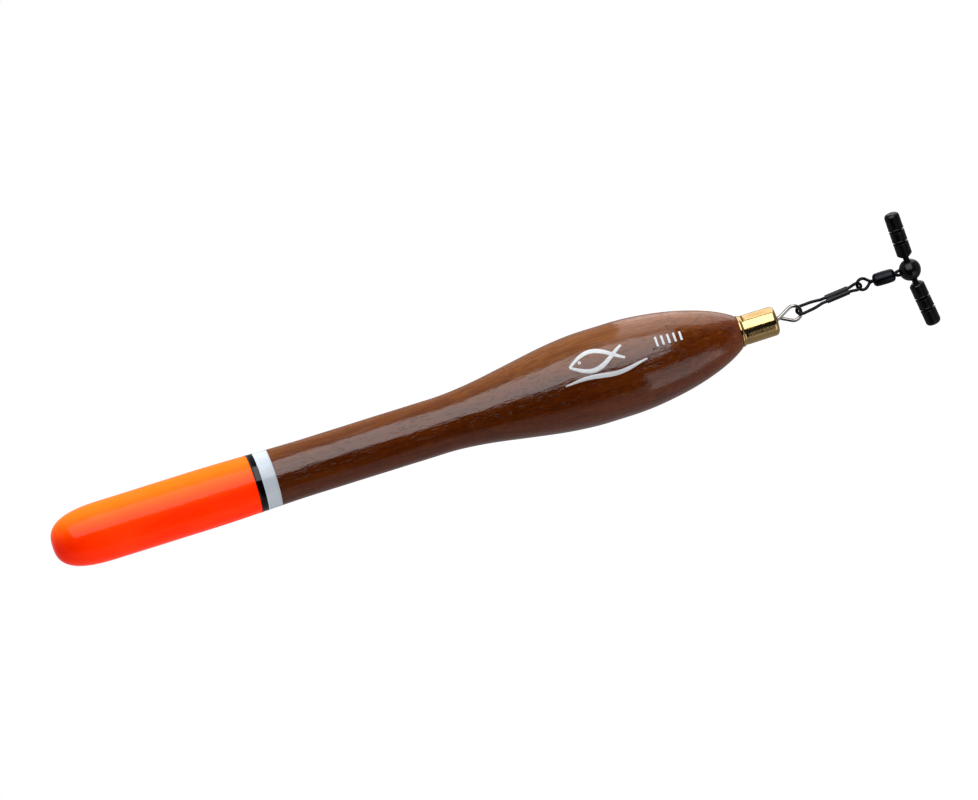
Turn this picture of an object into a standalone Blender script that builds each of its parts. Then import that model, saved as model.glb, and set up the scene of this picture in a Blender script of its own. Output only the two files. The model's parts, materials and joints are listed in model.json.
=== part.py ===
"""A loaded wooden waggler float and the swivel rig that joins it to the line.

The float stands as it does in water: +Z is up, the origin is on its axis at the waterline, where the
orange tip meets the black band, and the rig hangs below the brass base. Each moving piece hangs from an
empty that lies on the axis of its joint.
"""

import math

import bmesh
import bpy
import numpy as np

MM = 0.001

# Float body, heights measured from the waterline
TIP_HEIGHT = 31.6 * MM
TIP_DIAMETER = 9.16 * MM
NOSE_LENGTH = 9.0 * MM
NOSE_BLUNTNESS = 2.75
TIP_WAIST_HEIGHT = 7.9 * MM
NECK_DIAMETER = 8.55 * MM
NECK_TOP_DEPTH = 9.4 * MM
SHOULDER_TOP_DEPTH = 29.0 * MM
SHOULDER_LENGTH = 24.9 * MM
BELLY_DIAMETER = 14.4 * MM
BELLY_LENGTH = 3.8 * MM
TAIL_LENGTH = 19.1 * MM
TAIL_FULLNESS = 1.8

# Paint on the top of the body
COAT_THICKNESS = 0.3 * MM
BLACK_BAND_HEIGHT = 1.0 * MM
WHITE_BAND_HEIGHT = 2.24 * MM

# Brass base and its spigot in the wood
BRASS_LENGTH = 5.9 * MM
BRASS_DIAMETER = 4.56 * MM
BRASS_FLANGE_DIAMETER = 4.84 * MM
BRASS_FLANGE_LENGTH = 0.9 * MM
BRASS_TAPER = 0.04 * MM
BRASS_END_ROUNDING = 0.65 * MM
SPIGOT_DIAMETER = 2.4 * MM
SPIGOT_LENGTH = 9.0 * MM

# Stainless eye, bent from one wire whose two legs are glued into the brass
EYE_WIRE_DIAMETER = 0.56 * MM
EYE_HOLE_DIAMETER = 1.58 * MM
EYE_NECK_LENGTH = 0.35 * MM
EYE_THROAT_TO_CENTRE = 2.5 * MM
EYE_LEG_LENGTH = 4.5 * MM
EYE_SIDE_KICK = 0.22 * MM
EYE_TURN_DEG = -14.0

# Quick-change link: one black wire with its two ends under a soft sleeve
RIG_WIRE_DIAMETER = 0.48 * MM
LINK_LENGTH = 10.9 * MM
LINK_BELLY_WIDTH = 2.0 * MM
LINK_BELLY_DEPTH = 1.5 * MM
LINK_TAPER_LENGTH = 1.9 * MM
LINK_PINCH_DEPTH = 7.95 * MM
LINK_PINCH_SPACING = 0.8 * MM
LINK_CROSSING_DEG = 58.0
LINK_LEAN_DEG = 5.6
LINK_END_GAP = 0.2 * MM
SLEEVE_DEPTH = 4.2 * MM
SLEEVE_LENGTH = 3.65 * MM
SLEEVE_WALL = 0.12 * MM
SLEEVE_OVERLAP = 0.3 * MM

# Barrel swivel
SWIVEL_LEAN_DEG = -0.4
RING_HOLE_DIAMETER = 1.24 * MM
RING_THROAT_TO_CENTRE = 1.35 * MM
BARREL_DIAMETER = 2.1 * MM
BARREL_LENGTH = 3.47 * MM
BARREL_WALL = 0.3 * MM
BARREL_END_ROUNDING = 0.6 * MM
BARREL_END_LAND = 0.05 * MM
RING_TO_BARREL = 0.55 * MM
SHANK_DIAMETER = 0.56 * MM
HEAD_LENGTH = 0.5 * MM
HEAD_SIDE_GAP = 0.2 * MM
FAR_EYE_SPACING = 0.7 * MM
FAR_EYE_SHOWING = 0.7 * MM
FAR_EYE_TO_TUBE = 0.12 * MM

# Adaptor: a bead on a bent line tube, with a ribbed rubber stop on each end
BEAD_DIAMETER = 3.36 * MM
ADAPTOR_TURN_DEG = -15.0
UPPER_ARM_TILT_DEG = 3.8
LOWER_ARM_TILT_DEG = -9.3
TUBE_DIAMETER = 0.93 * MM
TUBE_BORE = 0.45 * MM
TUBE_REACH = 5.2 * MM
STOP_START = 2.2 * MM
STOP_DIAMETER = 2.36 * MM
STOP_MOUTH_DIAMETER = 1.5 * MM
STOP_MOUTH_TAPER = 0.45 * MM
STOP_RIB_LENGTHS = (2.3 * MM, 1.6 * MM, 2.55 * MM)
STOP_GROOVE_WIDTH = 0.3 * MM
STOP_GROOVE_DEPTH = 0.22 * MM
STOP_END_ROUNDING = 0.5 * MM
LINE_HOLE_DIAMETER = 0.36 * MM

# Clearances
GLUE_GAP = 0.03 * MM
HANG_GAP = 0.06 * MM
BOW_SIDE_GAP = 0.1 * MM
RUNNING_GAP = 0.04 * MM
SLIDING_GAP = 0.03 * MM

# Facets
BODY_SEGMENTS = 36
SMALL_SEGMENTS = 20
WIRE_SIDES = 8
TUBE_SIDES = 12
BEAD_RINGS = 12
NOSE_STEPS = 9
CORE_NOSE_STEPS = 7
TIP_SIDE_STEPS = 7
CORE_SIDE_STEPS = 6
NECK_STEPS = 4
SHOULDER_STEPS = 11
TAIL_STEPS = 11
FLARE_STEPS = 5
SHARP_ANGLE = math.radians(35)
MERGE_DISTANCE = 0.0001 * MM

# Places that several pieces share
TIP_RADIUS = TIP_DIAMETER / 2
NECK_RADIUS = NECK_DIAMETER / 2
BELLY_RADIUS = BELLY_DIAMETER / 2
FLANGE_RADIUS = BRASS_FLANGE_DIAMETER / 2
EYE_WIRE_RADIUS = EYE_WIRE_DIAMETER / 2
RIG_WIRE_RADIUS = RIG_WIRE_DIAMETER / 2
TUBE_RADIUS = TUBE_DIAMETER / 2
BELLY_TOP_DEPTH = SHOULDER_TOP_DEPTH + SHOULDER_LENGTH
TAIL_TOP_DEPTH = BELLY_TOP_DEPTH + BELLY_LENGTH
WOOD_END = -(TAIL_TOP_DEPTH + TAIL_LENGTH)
BRASS_END = WOOD_END - BRASS_LENGTH
BLACK_BAND_BOTTOM = -BLACK_BAND_HEIGHT
WHITE_BAND_BOTTOM = BLACK_BAND_BOTTOM - WHITE_BAND_HEIGHT
EYE_RADIUS = (EYE_HOLE_DIAMETER + EYE_WIRE_DIAMETER) / 2
RING_RADIUS = (RING_HOLE_DIAMETER + RIG_WIRE_DIAMETER) / 2
LINK_RISE = EYE_WIRE_RADIUS + RIG_WIRE_RADIUS + HANG_GAP
LINK_DROP = LINK_LENGTH - RIG_WIRE_DIAMETER - LINK_RISE
RING_DROP = RING_RADIUS - RIG_WIRE_DIAMETER - HANG_GAP


def smooth_step(start, end, value):
    """0 before start, 1 after end, and a level-ended S curve between them."""
    share = np.clip((value - start) / (end - start), 0.0, 1.0)
    return share * share * (3.0 - 2.0 * share)


# ---------------------------------------------------------------- outlines and paths


def outline_radius(z, inset=0.0):
    """The float's radius at height z below its nose, or of the same shape set in by a coat."""
    radius = TIP_RADIUS + (NECK_RADIUS - TIP_RADIUS) * smooth_step(
        -TIP_WAIST_HEIGHT, NECK_TOP_DEPTH, -z
    )
    radius = radius + (BELLY_RADIUS - NECK_RADIUS) * smooth_step(
        SHOULDER_TOP_DEPTH, BELLY_TOP_DEPTH, -z
    )
    end_share = (1 - (FLANGE_RADIUS / BELLY_RADIUS) ** TAIL_FULLNESS) ** (1 / TAIL_FULLNESS)
    fall = np.clip((-z - TAIL_TOP_DEPTH) / TAIL_LENGTH, 0.0, 1.0) * end_share
    return radius * (1 - fall**TAIL_FULLNESS) ** (1 / TAIL_FULLNESS) - inset


def nose_profile(inset, steps):
    """(radius, z) from the nose's top point to where the tip turns straight."""
    angles = np.linspace(0, math.pi / 2, steps)
    power = 2 / NOSE_BLUNTNESS
    radii = (TIP_RADIUS - inset) * np.sin(angles) ** power
    drops = NOSE_LENGTH * (1 - np.abs(np.cos(angles)) ** power)
    return list(zip(radii, TIP_HEIGHT - inset - drops))


def side_profile(top, bottom, steps, inset=0.0):
    """(radius, z) down the float's side between two heights."""
    heights = np.linspace(top, bottom, steps)
    return list(zip(outline_radius(heights, inset), heights))


def rounded_corner(radius, z, rounding, upwards, steps=5):
    """(radius, z) round an outer corner of a turned piece, from its side to its end face."""
    turn = np.linspace(0, math.pi / 2, steps)
    end = 1 if upwards else -1
    radii = radius - rounding * (1 - np.cos(turn))
    heights = z - end * rounding * (1 - np.sin(turn))
    return list(zip(radii, heights))


def circle(radius, sides=WIRE_SIDES):
    """Flat outline of a round wire or bore."""
    turn = np.arange(sides) * 2 * math.pi / sides
    return np.column_stack([np.cos(turn), np.sin(turn)]) * radius


def oval(spacing, radius, sides=2 * WIRE_SIDES):
    """Flat outline of a soft tube pulled round two wires: two half circles joined by straight sides."""
    half_turn = np.linspace(-math.pi / 2, math.pi / 2, sides // 2)
    half = np.column_stack([spacing / 2 + radius * np.cos(half_turn), radius * np.sin(half_turn)])
    return np.vstack([half, -half])


def eye_path(radius, throat_to_centre, leg_spacing, kick=0.0, steps=20):
    """A round eye that hangs below its throat, where its two legs pass one behind the other."""
    leave = math.acos(radius / throat_to_centre)
    turn = np.linspace(math.pi / 2 + leave, 2.5 * math.pi - leave, steps)
    centre = np.array([kick, 0.0, -throat_to_centre])
    loop = centre + radius * np.column_stack([np.cos(turn), 0 * turn, np.sin(turn)])
    throat = np.array([[kick, leg_spacing / 2, 0.0]])
    return np.vstack([throat, loop, throat * [1, -1, 1]])


def link_half_width(depth):
    """Half the spacing of the link's two legs at a depth below the eye's wire."""
    lean = math.sin(math.radians(LINK_CROSSING_DEG))
    top_bow = (EYE_WIRE_RADIUS + RIG_WIRE_RADIUS) / lean + BOW_SIDE_GAP
    low_bow = RIG_WIRE_DIAMETER / lean + BOW_SIDE_GAP
    belly = LINK_BELLY_WIDTH / 2 - RIG_WIRE_RADIUS
    pinch = LINK_PINCH_SPACING / 2
    pinch_top = LINK_BELLY_DEPTH + LINK_TAPER_LENGTH
    width = top_bow + (belly - top_bow) * smooth_step(0, LINK_BELLY_DEPTH, depth)
    width = width + (pinch - belly) * smooth_step(LINK_BELLY_DEPTH, pinch_top, depth)
    return width + (low_bow - pinch) * smooth_step(LINK_PINCH_DEPTH, LINK_DROP - low_bow, depth)


def link_path():
    """The link's wire, from one end under the sleeve, round both bows, to the other end beside it."""
    top_radius = link_half_width(0.0)
    low_radius = link_half_width(LINK_DROP)
    join = SLEEVE_DEPTH + SLEEVE_LENGTH - SLEEVE_OVERLAP
    top_depth = top_radius - LINK_RISE
    low_depth = LINK_DROP - low_radius
    half_turn = np.linspace(0, math.pi, 11)
    upward = np.linspace(join - LINK_END_GAP, top_depth, 16)[:-1]
    downward = np.linspace(top_depth, low_depth, 26)[1:-1]
    homeward = np.linspace(low_depth, join, 5)[1:]
    across = np.concatenate([
        -link_half_width(upward),
        -top_radius * np.cos(half_turn),
        link_half_width(downward),
        low_radius * np.cos(half_turn),
        -link_half_width(homeward),
    ])
    height = np.concatenate([
        -upward,
        -top_depth + top_radius * np.sin(half_turn),
        -downward,
        -low_depth - low_radius * np.sin(half_turn),
        -homeward,
    ])
    turn = math.radians(LINK_CROSSING_DEG)
    return np.column_stack([across * math.cos(turn), across * math.sin(turn), height])


def far_eye_bow(leg_top, bow_height, steps=9):
    """The far eye inside the bead: two straight legs joined by a bow."""
    radius = FAR_EYE_SPACING / 2
    half_turn = np.linspace(math.pi, 2 * math.pi, steps)
    bow = np.column_stack([
        radius * np.cos(half_turn),
        0 * half_turn,
        bow_height + radius + radius * np.sin(half_turn),
    ])
    leg = np.array([[radius, 0, leg_top]])
    return np.vstack([leg * [-1, 1, 1], bow, leg])


def far_eye_splay(top, leg_top, steps=4):
    """One leg's spread from its narrow start at the barrel to the bead's surface."""
    start = (RIG_WIRE_DIAMETER + HANG_GAP) / 2
    spread = smooth_step(0.0, 1.0, np.linspace(0, 1, steps))
    across = start + (FAR_EYE_SPACING / 2 - start) * spread
    return np.column_stack([across, 0 * spread, np.linspace(top, leg_top, steps)])[:-1]


def arm_direction(tilt_deg, side):
    """Unit vector along one arm of the adaptor, side +1 for the upper arm and -1 for the lower."""
    tilt = math.radians(tilt_deg)
    return np.array([side * math.cos(tilt), 0.0, math.sin(tilt)])


def tube_path(reach, steps=7):
    """The line tube's centre line: two straight arms joined by an easy bend inside the bead."""
    upper = arm_direction(UPPER_ARM_TILT_DEG, 1)
    lower = arm_direction(LOWER_ARM_TILT_DEG, -1)
    bend = BEAD_DIAMETER / 3
    share = np.linspace(0, 1, steps)[:, None]
    middle = bend * (upper * (1 - share) ** 2 + lower * share**2)
    return np.vstack([upper * reach, middle, lower * reach])


# ---------------------------------------------------------------- meshes and objects


def finish_mesh(name, work):
    """Turns a working bmesh into a named mesh, with loose doubles merged and smooth round faces."""
    bmesh.ops.remove_doubles(work, verts=work.verts, dist=MERGE_DISTANCE)
    bmesh.ops.recalc_face_normals(work, faces=work.faces)
    mesh = bpy.data.meshes.new(name)
    work.to_mesh(mesh)
    work.free()
    mesh.shade_smooth()
    mesh.set_sharp_from_angle(angle=SHARP_ANGLE)
    return mesh


def turned_mesh(name, profile, segments, closed=False):
    """A profile of (radius, z) points turned about Z. An open profile starts and ends on the axis."""
    work = bmesh.new()
    points = [work.verts.new((radius, 0, z)) for radius, z in profile]
    edges = [work.edges.new(pair) for pair in zip(points, points[1:])]
    if closed:
        edges.append(work.edges.new((points[-1], points[0])))
    bmesh.ops.spin(
        work,
        geom=points + edges,
        cent=(0, 0, 0),
        axis=(0, 0, 1),
        angle=2 * math.pi,
        steps=segments,
        use_merge=True,
    )
    return finish_mesh(name, work)


def section_rings(path, outline, first_side):
    """Points of the flat outline carried along the path, square to it and without twisting."""
    ahead = np.gradient(path, axis=0)
    ahead /= np.linalg.norm(ahead, axis=1)[:, None]
    side = np.array(first_side, float)
    rings = []
    for centre, forward in zip(path, ahead):
        side = side - forward * np.dot(side, forward)
        side /= np.linalg.norm(side)
        other = np.cross(forward, side)
        rings.append(centre + outline[:, :1] * side + outline[:, 1:] * other)
    return rings


def ring_walls(work, rings):
    """Adds side faces between neighbouring rings, and returns their edge loops' corners."""
    corners = [[work.verts.new(point) for point in ring] for ring in rings]
    for near, far in zip(corners, corners[1:]):
        for i in range(len(near)):
            j = (i + 1) % len(near)
            work.faces.new((near[i], near[j], far[j], far[i]))
    return corners


def swept_mesh(name, path, outline, bore=None, first_side=(0, 1, 0)):
    """A flat outline swept along a path, solid or with a bore of the same point count."""
    work = bmesh.new()
    outer = ring_walls(work, section_rings(path, outline, first_side))
    if bore is None:
        work.faces.new(outer[0][::-1])
        work.faces.new(outer[-1])
        return finish_mesh(name, work)
    inner = ring_walls(work, section_rings(path, bore, first_side))
    for wall, hole in ((outer[0], inner[0]), (outer[-1], inner[-1])):
        for i in range(len(wall)):
            j = (i + 1) % len(wall)
            work.faces.new((wall[i], wall[j], hole[j], hole[i]))
    return finish_mesh(name, work)


def make_finish(name, colour, roughness, metallic=0.0):
    """A named material with one Principled shader."""
    finish = bpy.data.materials.new(name)
    finish.use_nodes = True
    shader = finish.node_tree.nodes["Principled BSDF"]
    shader.inputs["Base Color"].default_value = (*colour, 1.0)
    shader.inputs["Roughness"].default_value = roughness
    shader.inputs["Metallic"].default_value = metallic
    return finish


def add_piece(name, mesh, finish=None, parent=None):
    """Links one mesh object into the scene under its parent."""
    piece = bpy.data.objects.new(name, mesh)
    bpy.context.scene.collection.objects.link(piece)
    piece.parent = parent
    if finish:
        mesh.materials.append(finish)
    return piece


def add_frame(name, parent, location, rotation_deg=(0, 0, 0)):
    """An empty that carries a piece, or marks the joint that it turns or slides on."""
    frame = bpy.data.objects.new(name, None)
    bpy.context.scene.collection.objects.link(frame)
    frame.empty_display_size = TIP_RADIUS / 2
    frame.parent = parent
    frame.location = location
    frame.rotation_euler = [math.radians(angle) for angle in rotation_deg]
    return frame


def add_helper(name, mesh, parent):
    """A mesh that only cuts or joins another piece, and isn't one itself."""
    helper = add_piece(name, mesh, parent=parent)
    helper.hide_render = True
    helper.display_type = "WIRE"
    return helper


def combine(piece, helper, operation):
    """Cuts a helper from a piece, or joins it on."""
    modifier = piece.modifiers.new(f"{operation.lower()}_{helper.name}", "BOOLEAN")
    modifier.operation = operation
    modifier.solver = "EXACT"
    modifier.object = helper


def clear_scene():
    """Removes whatever the scene holds."""
    for thing in list(bpy.data.objects):
        bpy.data.objects.remove(thing, do_unlink=True)


# ---------------------------------------------------------------- the float


def make_finishes():
    """The materials of the float and its rig, by name."""
    return {
        "wood": make_finish("stained_balsa", (0.16, 0.055, 0.016), 0.18),
        "orange": make_finish("fluorescent_orange", (1.0, 0.16, 0.01), 0.22),
        "black": make_finish("black_paint", (0.01, 0.01, 0.014), 0.2),
        "white": make_finish("white_paint", (0.78, 0.82, 0.86), 0.2),
        "brass": make_finish("polished_brass", (0.83, 0.62, 0.3), 0.12, 1.0),
        "steel": make_finish("stainless_wire", (0.62, 0.6, 0.58), 0.15, 1.0),
        "dark_wire": make_finish("black_nickel", (0.03, 0.033, 0.04), 0.3, 0.9),
        "plastic": make_finish("black_plastic", (0.012, 0.012, 0.014), 0.32),
        "rubber": make_finish("black_rubber", (0.014, 0.014, 0.015), 0.45),
    }


def make_body(finishes):
    """The balsa body: thinner under the paint, and bored at its tail for the brass spigot."""
    set_in = COAT_THICKNESS + GLUE_GAP
    hole_radius = SPIGOT_DIAMETER / 2 + GLUE_GAP
    hole_top = WOOD_END + SPIGOT_LENGTH + GLUE_GAP
    nose_end = TIP_HEIGHT - set_in - NOSE_LENGTH
    profile = nose_profile(set_in, CORE_NOSE_STEPS)
    profile += side_profile(nose_end, WHITE_BAND_BOTTOM, CORE_SIDE_STEPS, set_in)[1:]
    profile += side_profile(WHITE_BAND_BOTTOM, -SHOULDER_TOP_DEPTH, NECK_STEPS)
    profile += side_profile(-SHOULDER_TOP_DEPTH, -TAIL_TOP_DEPTH, SHOULDER_STEPS)[1:]
    profile += side_profile(-TAIL_TOP_DEPTH, WOOD_END, TAIL_STEPS)[1:]
    profile += [(hole_radius, WOOD_END), (hole_radius, hole_top), (0, hole_top)]
    add_piece("balsa_body", turned_mesh("balsa_body", profile, BODY_SEGMENTS), finishes["wood"])


def make_tip(finishes):
    """The orange coat: a thin cap over the top of the body."""
    bottom = GLUE_GAP / 2
    nose_end = TIP_HEIGHT - NOSE_LENGTH
    outside = nose_profile(0, NOSE_STEPS)
    outside += side_profile(nose_end, bottom, TIP_SIDE_STEPS)[1:]
    inside = nose_profile(COAT_THICKNESS, CORE_NOSE_STEPS)
    inside += side_profile(nose_end - COAT_THICKNESS, bottom, CORE_SIDE_STEPS, COAT_THICKNESS)[1:]
    profile = outside + inside[::-1]
    add_piece("orange_tip", turned_mesh("orange_tip", profile, BODY_SEGMENTS), finishes["orange"])


def make_band(name, top, bottom, finish):
    """A coloured band: a thin ring round the body."""
    outside = side_profile(top - GLUE_GAP / 2, bottom + GLUE_GAP / 2, 2)
    inside = side_profile(bottom + GLUE_GAP / 2, top - GLUE_GAP / 2, 2, COAT_THICKNESS)
    mesh = turned_mesh(name, outside + inside, BODY_SEGMENTS, closed=True)
    add_piece(name, mesh, finish)


def make_brass_base(finishes):
    """The turned brass load: a spigot in the wood, a flared flange, and a bore for the eye's legs."""
    radius = BRASS_DIAMETER / 2
    end_radius = radius - BRASS_TAPER
    bore = EYE_WIRE_DIAMETER + 2 * GLUE_GAP
    bore_top = BRASS_END + EYE_LEG_LENGTH + GLUE_GAP
    spigot = SPIGOT_DIAMETER / 2
    seat = WOOD_END - GLUE_GAP
    flare = np.linspace(0, 1, FLARE_STEPS)
    flange = list(zip(
        radius + (FLANGE_RADIUS - radius) * (1 - flare) ** 2,
        seat - flare * BRASS_FLANGE_LENGTH,
    ))
    profile = [(0, WOOD_END + SPIGOT_LENGTH), (spigot, WOOD_END + SPIGOT_LENGTH), (spigot, seat)]
    profile += flange
    profile += rounded_corner(end_radius, BRASS_END, BRASS_END_ROUNDING, upwards=False)
    profile += [(bore, BRASS_END), (bore, bore_top), (0, bore_top)]
    add_piece("brass_base", turned_mesh("brass_base", profile, BODY_SEGMENTS), finishes["brass"])


def make_eye(finishes):
    """The stainless eye under the brass. Returns the frame that it was bent in."""
    eye_frame = add_frame(
        "eye_frame",
        None,
        (0, 0, BRASS_END - EYE_NECK_LENGTH),
        (0, 0, EYE_TURN_DEG),
    )
    spacing = EYE_WIRE_DIAMETER + GLUE_GAP
    loop = eye_path(EYE_RADIUS, EYE_THROAT_TO_CENTRE, spacing, EYE_SIDE_KICK)
    leg_foot = [0, spacing / 2, EYE_NECK_LENGTH]
    leg_end = [0, spacing / 2, EYE_NECK_LENGTH + EYE_LEG_LENGTH]
    leg = np.array([leg_end, leg_foot])
    path = np.vstack([leg, loop, leg[::-1] * [1, -1, 1]])
    mesh = swept_mesh("eye_wire", path, circle(EYE_WIRE_RADIUS))
    add_piece("eye_wire", mesh, finishes["steel"], eye_frame)
    return eye_frame


# ---------------------------------------------------------------- the rig


def make_link(finishes, eye_frame):
    """The quick-change link, hung in the eye where its pull lines up. Returns the link's frame."""
    lean = math.radians(LINK_LEAN_DEG)
    hang_point = (
        EYE_SIDE_KICK + EYE_RADIUS * math.sin(lean),
        0,
        -EYE_THROAT_TO_CENTRE - EYE_RADIUS * math.cos(lean),
    )
    link_frame = add_frame("link_hinge", eye_frame, hang_point, (0, -LINK_LEAN_DEG, 0))
    mesh = swept_mesh("link_wire", link_path(), circle(RIG_WIRE_RADIUS))
    add_piece("link_wire", mesh, finishes["dark_wire"], link_frame)
    return link_frame


def make_sleeve(finishes, link_frame):
    """The soft sleeve that keeps the link shut, free to slide along its legs."""
    sleeve_frame = add_frame(
        "sleeve_slide", link_frame, (0, 0, -SLEEVE_DEPTH), (0, 0, LINK_CROSSING_DEG)
    )
    bore = oval(LINK_PINCH_SPACING, RIG_WIRE_RADIUS + SLIDING_GAP)
    skin = oval(LINK_PINCH_SPACING, RIG_WIRE_RADIUS + SLIDING_GAP + SLEEVE_WALL)
    path = np.array([[0, 0, 0], [0, 0, -SLEEVE_LENGTH]], float)
    mesh = swept_mesh("link_sleeve", path, skin, bore, first_side=(1, 0, 0))
    add_piece("link_sleeve", mesh, finishes["plastic"], sleeve_frame)


def barrel_places():
    """Heights of the barrel's two ends and the bead's centre, from the near eye's centre."""
    top = -RING_RADIUS - RIG_WIRE_RADIUS - RING_TO_BARREL
    bottom = top - BARREL_LENGTH
    bead_centre = bottom - FAR_EYE_SHOWING - BEAD_DIAMETER / 2
    return top, bottom, bead_centre


def shank_mesh(name, start, inner_wall, into_barrel):
    """A pin through a barrel's end, from start to a head that lies against the inner wall."""
    face = inner_wall + into_barrel * RUNNING_GAP
    tail = face + into_barrel * HEAD_LENGTH
    radius = SHANK_DIAMETER / 2
    head = BARREL_DIAMETER / 2 - BARREL_WALL - HEAD_SIDE_GAP
    profile = [(0, start), (radius, start), (radius, face), (head, face), (head, tail), (0, tail)]
    return turned_mesh(name, profile, SMALL_SEGMENTS)


def make_near_eye(finishes, link_frame):
    """The swivel's round eye on the link's lower bow. It turns about its own centre, as it slips
    round through the bow. Returns the swivel's frame, at that centre."""
    swivel_frame = add_frame(
        "swivel_hinge",
        link_frame,
        (0, 0, -LINK_DROP - RING_DROP),
        (0, LINK_LEAN_DEG - SWIVEL_LEAN_DEG, 0),
    )
    top = barrel_places()[0]
    throat = -RING_THROAT_TO_CENTRE
    path = eye_path(RING_RADIUS, RING_THROAT_TO_CENTRE, RIG_WIRE_DIAMETER + HANG_GAP)
    path = path * [1, 1, -1] + [0, 0, throat]
    wire_mesh = swept_mesh("near_ring_wire", path, circle(RIG_WIRE_RADIUS))
    wire = add_helper("near_ring_wire", wire_mesh, swivel_frame)
    shank = shank_mesh("swivel_near_eye", throat + RIG_WIRE_RADIUS, top - BARREL_WALL, -1)
    piece = add_piece("swivel_near_eye", shank, finishes["dark_wire"], swivel_frame)
    combine(piece, wire, "UNION")
    return swivel_frame


def make_barrel(finishes, swivel_frame):
    """The swivel's hollow barrel, free to spin on both shanks. Returns its frame."""
    top, bottom, _ = barrel_places()
    spin_frame = add_frame("barrel_spin", swivel_frame, (0, 0, 0))
    outer = BARREL_DIAMETER / 2
    inner = outer - BARREL_WALL
    hole = SHANK_DIAMETER / 2 + RUNNING_GAP
    rounding = min(BARREL_END_ROUNDING, outer - hole - BARREL_END_LAND)
    outside = rounded_corner(outer, top, rounding, upwards=True)[::-1]
    outside += rounded_corner(outer, bottom, rounding, upwards=False)
    inside = [
        (hole, bottom),
        (hole, bottom + BARREL_WALL),
        (inner, bottom + BARREL_WALL),
        (inner, top - BARREL_WALL),
        (hole, top - BARREL_WALL),
        (hole, top),
    ]
    mesh = turned_mesh("swivel_barrel", outside + inside, SMALL_SEGMENTS, closed=True)
    add_piece("swivel_barrel", mesh, finishes["dark_wire"], spin_frame)
    return spin_frame


def make_adaptor(finishes, barrel_frame):
    """The far eye, the bead moulded on it and the line tube through the bead. Returns their frame."""
    _, bottom, bead_centre = barrel_places()
    frame = add_frame(
        "adaptor_spin", barrel_frame, (0, 0, bead_centre), (0, 0, ADAPTOR_TURN_DEG - EYE_TURN_DEG)
    )
    barrel_bottom = bottom - bead_centre
    splay_top = barrel_bottom - RUNNING_GAP - RIG_WIRE_RADIUS
    bow = far_eye_bow(BEAD_DIAMETER / 2, TUBE_RADIUS + FAR_EYE_TO_TUBE + RIG_WIRE_RADIUS)
    splay = far_eye_splay(splay_top, BEAD_DIAMETER / 2)
    path = np.vstack([splay * [-1, 1, 1], bow, splay[::-1]])

    wire_mesh = swept_mesh("far_eye_wire", path, circle(RIG_WIRE_RADIUS))
    wire = add_helper("far_eye_wire", wire_mesh, frame)
    shank_start = splay_top - RIG_WIRE_RADIUS / 2
    shank = shank_mesh("swivel_far_eye", shank_start, barrel_bottom + BARREL_WALL, 1)
    far_eye = add_piece("swivel_far_eye", shank, finishes["dark_wire"], frame)
    combine(far_eye, wire, "UNION")

    ball = bmesh.new()
    bmesh.ops.create_uvsphere(
        ball, u_segments=SMALL_SEGMENTS, v_segments=BEAD_RINGS, radius=BEAD_DIAMETER / 2
    )
    bead = add_piece("adaptor_bead", finish_mesh("adaptor_bead", ball), finishes["plastic"], frame)
    eye_pocket = swept_mesh("eye_pocket", bow, circle(RIG_WIRE_RADIUS + GLUE_GAP))
    hole_outline = circle(TUBE_RADIUS + GLUE_GAP, TUBE_SIDES)
    tube_hole = swept_mesh("tube_hole", tube_path(BEAD_DIAMETER), hole_outline)
    combine(bead, add_helper("eye_pocket", eye_pocket, frame), "DIFFERENCE")
    combine(bead, add_helper("tube_hole", tube_hole, frame), "DIFFERENCE")

    tube_outline = circle(TUBE_RADIUS, TUBE_SIDES)
    tube_bore = circle(TUBE_BORE / 2, TUBE_SIDES)
    tube = swept_mesh("line_tube", tube_path(TUBE_REACH), tube_outline, tube_bore)
    add_piece("line_tube", tube, finishes["plastic"], frame)
    return frame


def stop_profile():
    """(radius, z) of a ribbed stop round its stepped bore, with z measured along its arm."""
    radius = STOP_DIAMETER / 2
    mouth = STOP_MOUTH_DIAMETER / 2
    waist = radius - STOP_GROOVE_DEPTH
    end = STOP_START + sum(STOP_RIB_LENGTHS) + 2 * STOP_GROOVE_WIDTH
    outside = [(mouth, STOP_START), (radius, STOP_START + STOP_MOUTH_TAPER)]
    height = STOP_START
    for length in STOP_RIB_LENGTHS[:-1]:
        height += length
        outside += [(radius, height), (waist, height)]
        height += STOP_GROOVE_WIDTH
        outside += [(waist, height), (radius, height)]
    outside += rounded_corner(radius, end, STOP_END_ROUNDING, upwards=True)
    socket = TUBE_RADIUS + SLIDING_GAP
    socket_end = TUBE_REACH + SLIDING_GAP
    line_hole = LINE_HOLE_DIAMETER / 2
    bore = [(line_hole, end), (line_hole, socket_end), (socket, socket_end), (socket, STOP_START)]
    return outside + bore


def make_stops(finishes, adaptor_frame):
    """The two rubber stops, each pushed onto its end of the line tube."""
    arms = (("upper_stop", UPPER_ARM_TILT_DEG, 1), ("lower_stop", LOWER_ARM_TILT_DEG, -1))
    for name, tilt, side in arms:
        frame = add_frame(f"{name}_slide", adaptor_frame, (0, 0, 0), (0, side * (90 - tilt), 0))
        mesh = turned_mesh(name, stop_profile(), SMALL_SEGMENTS, closed=True)
        add_piece(name, mesh, finishes["rubber"], frame)


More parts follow.
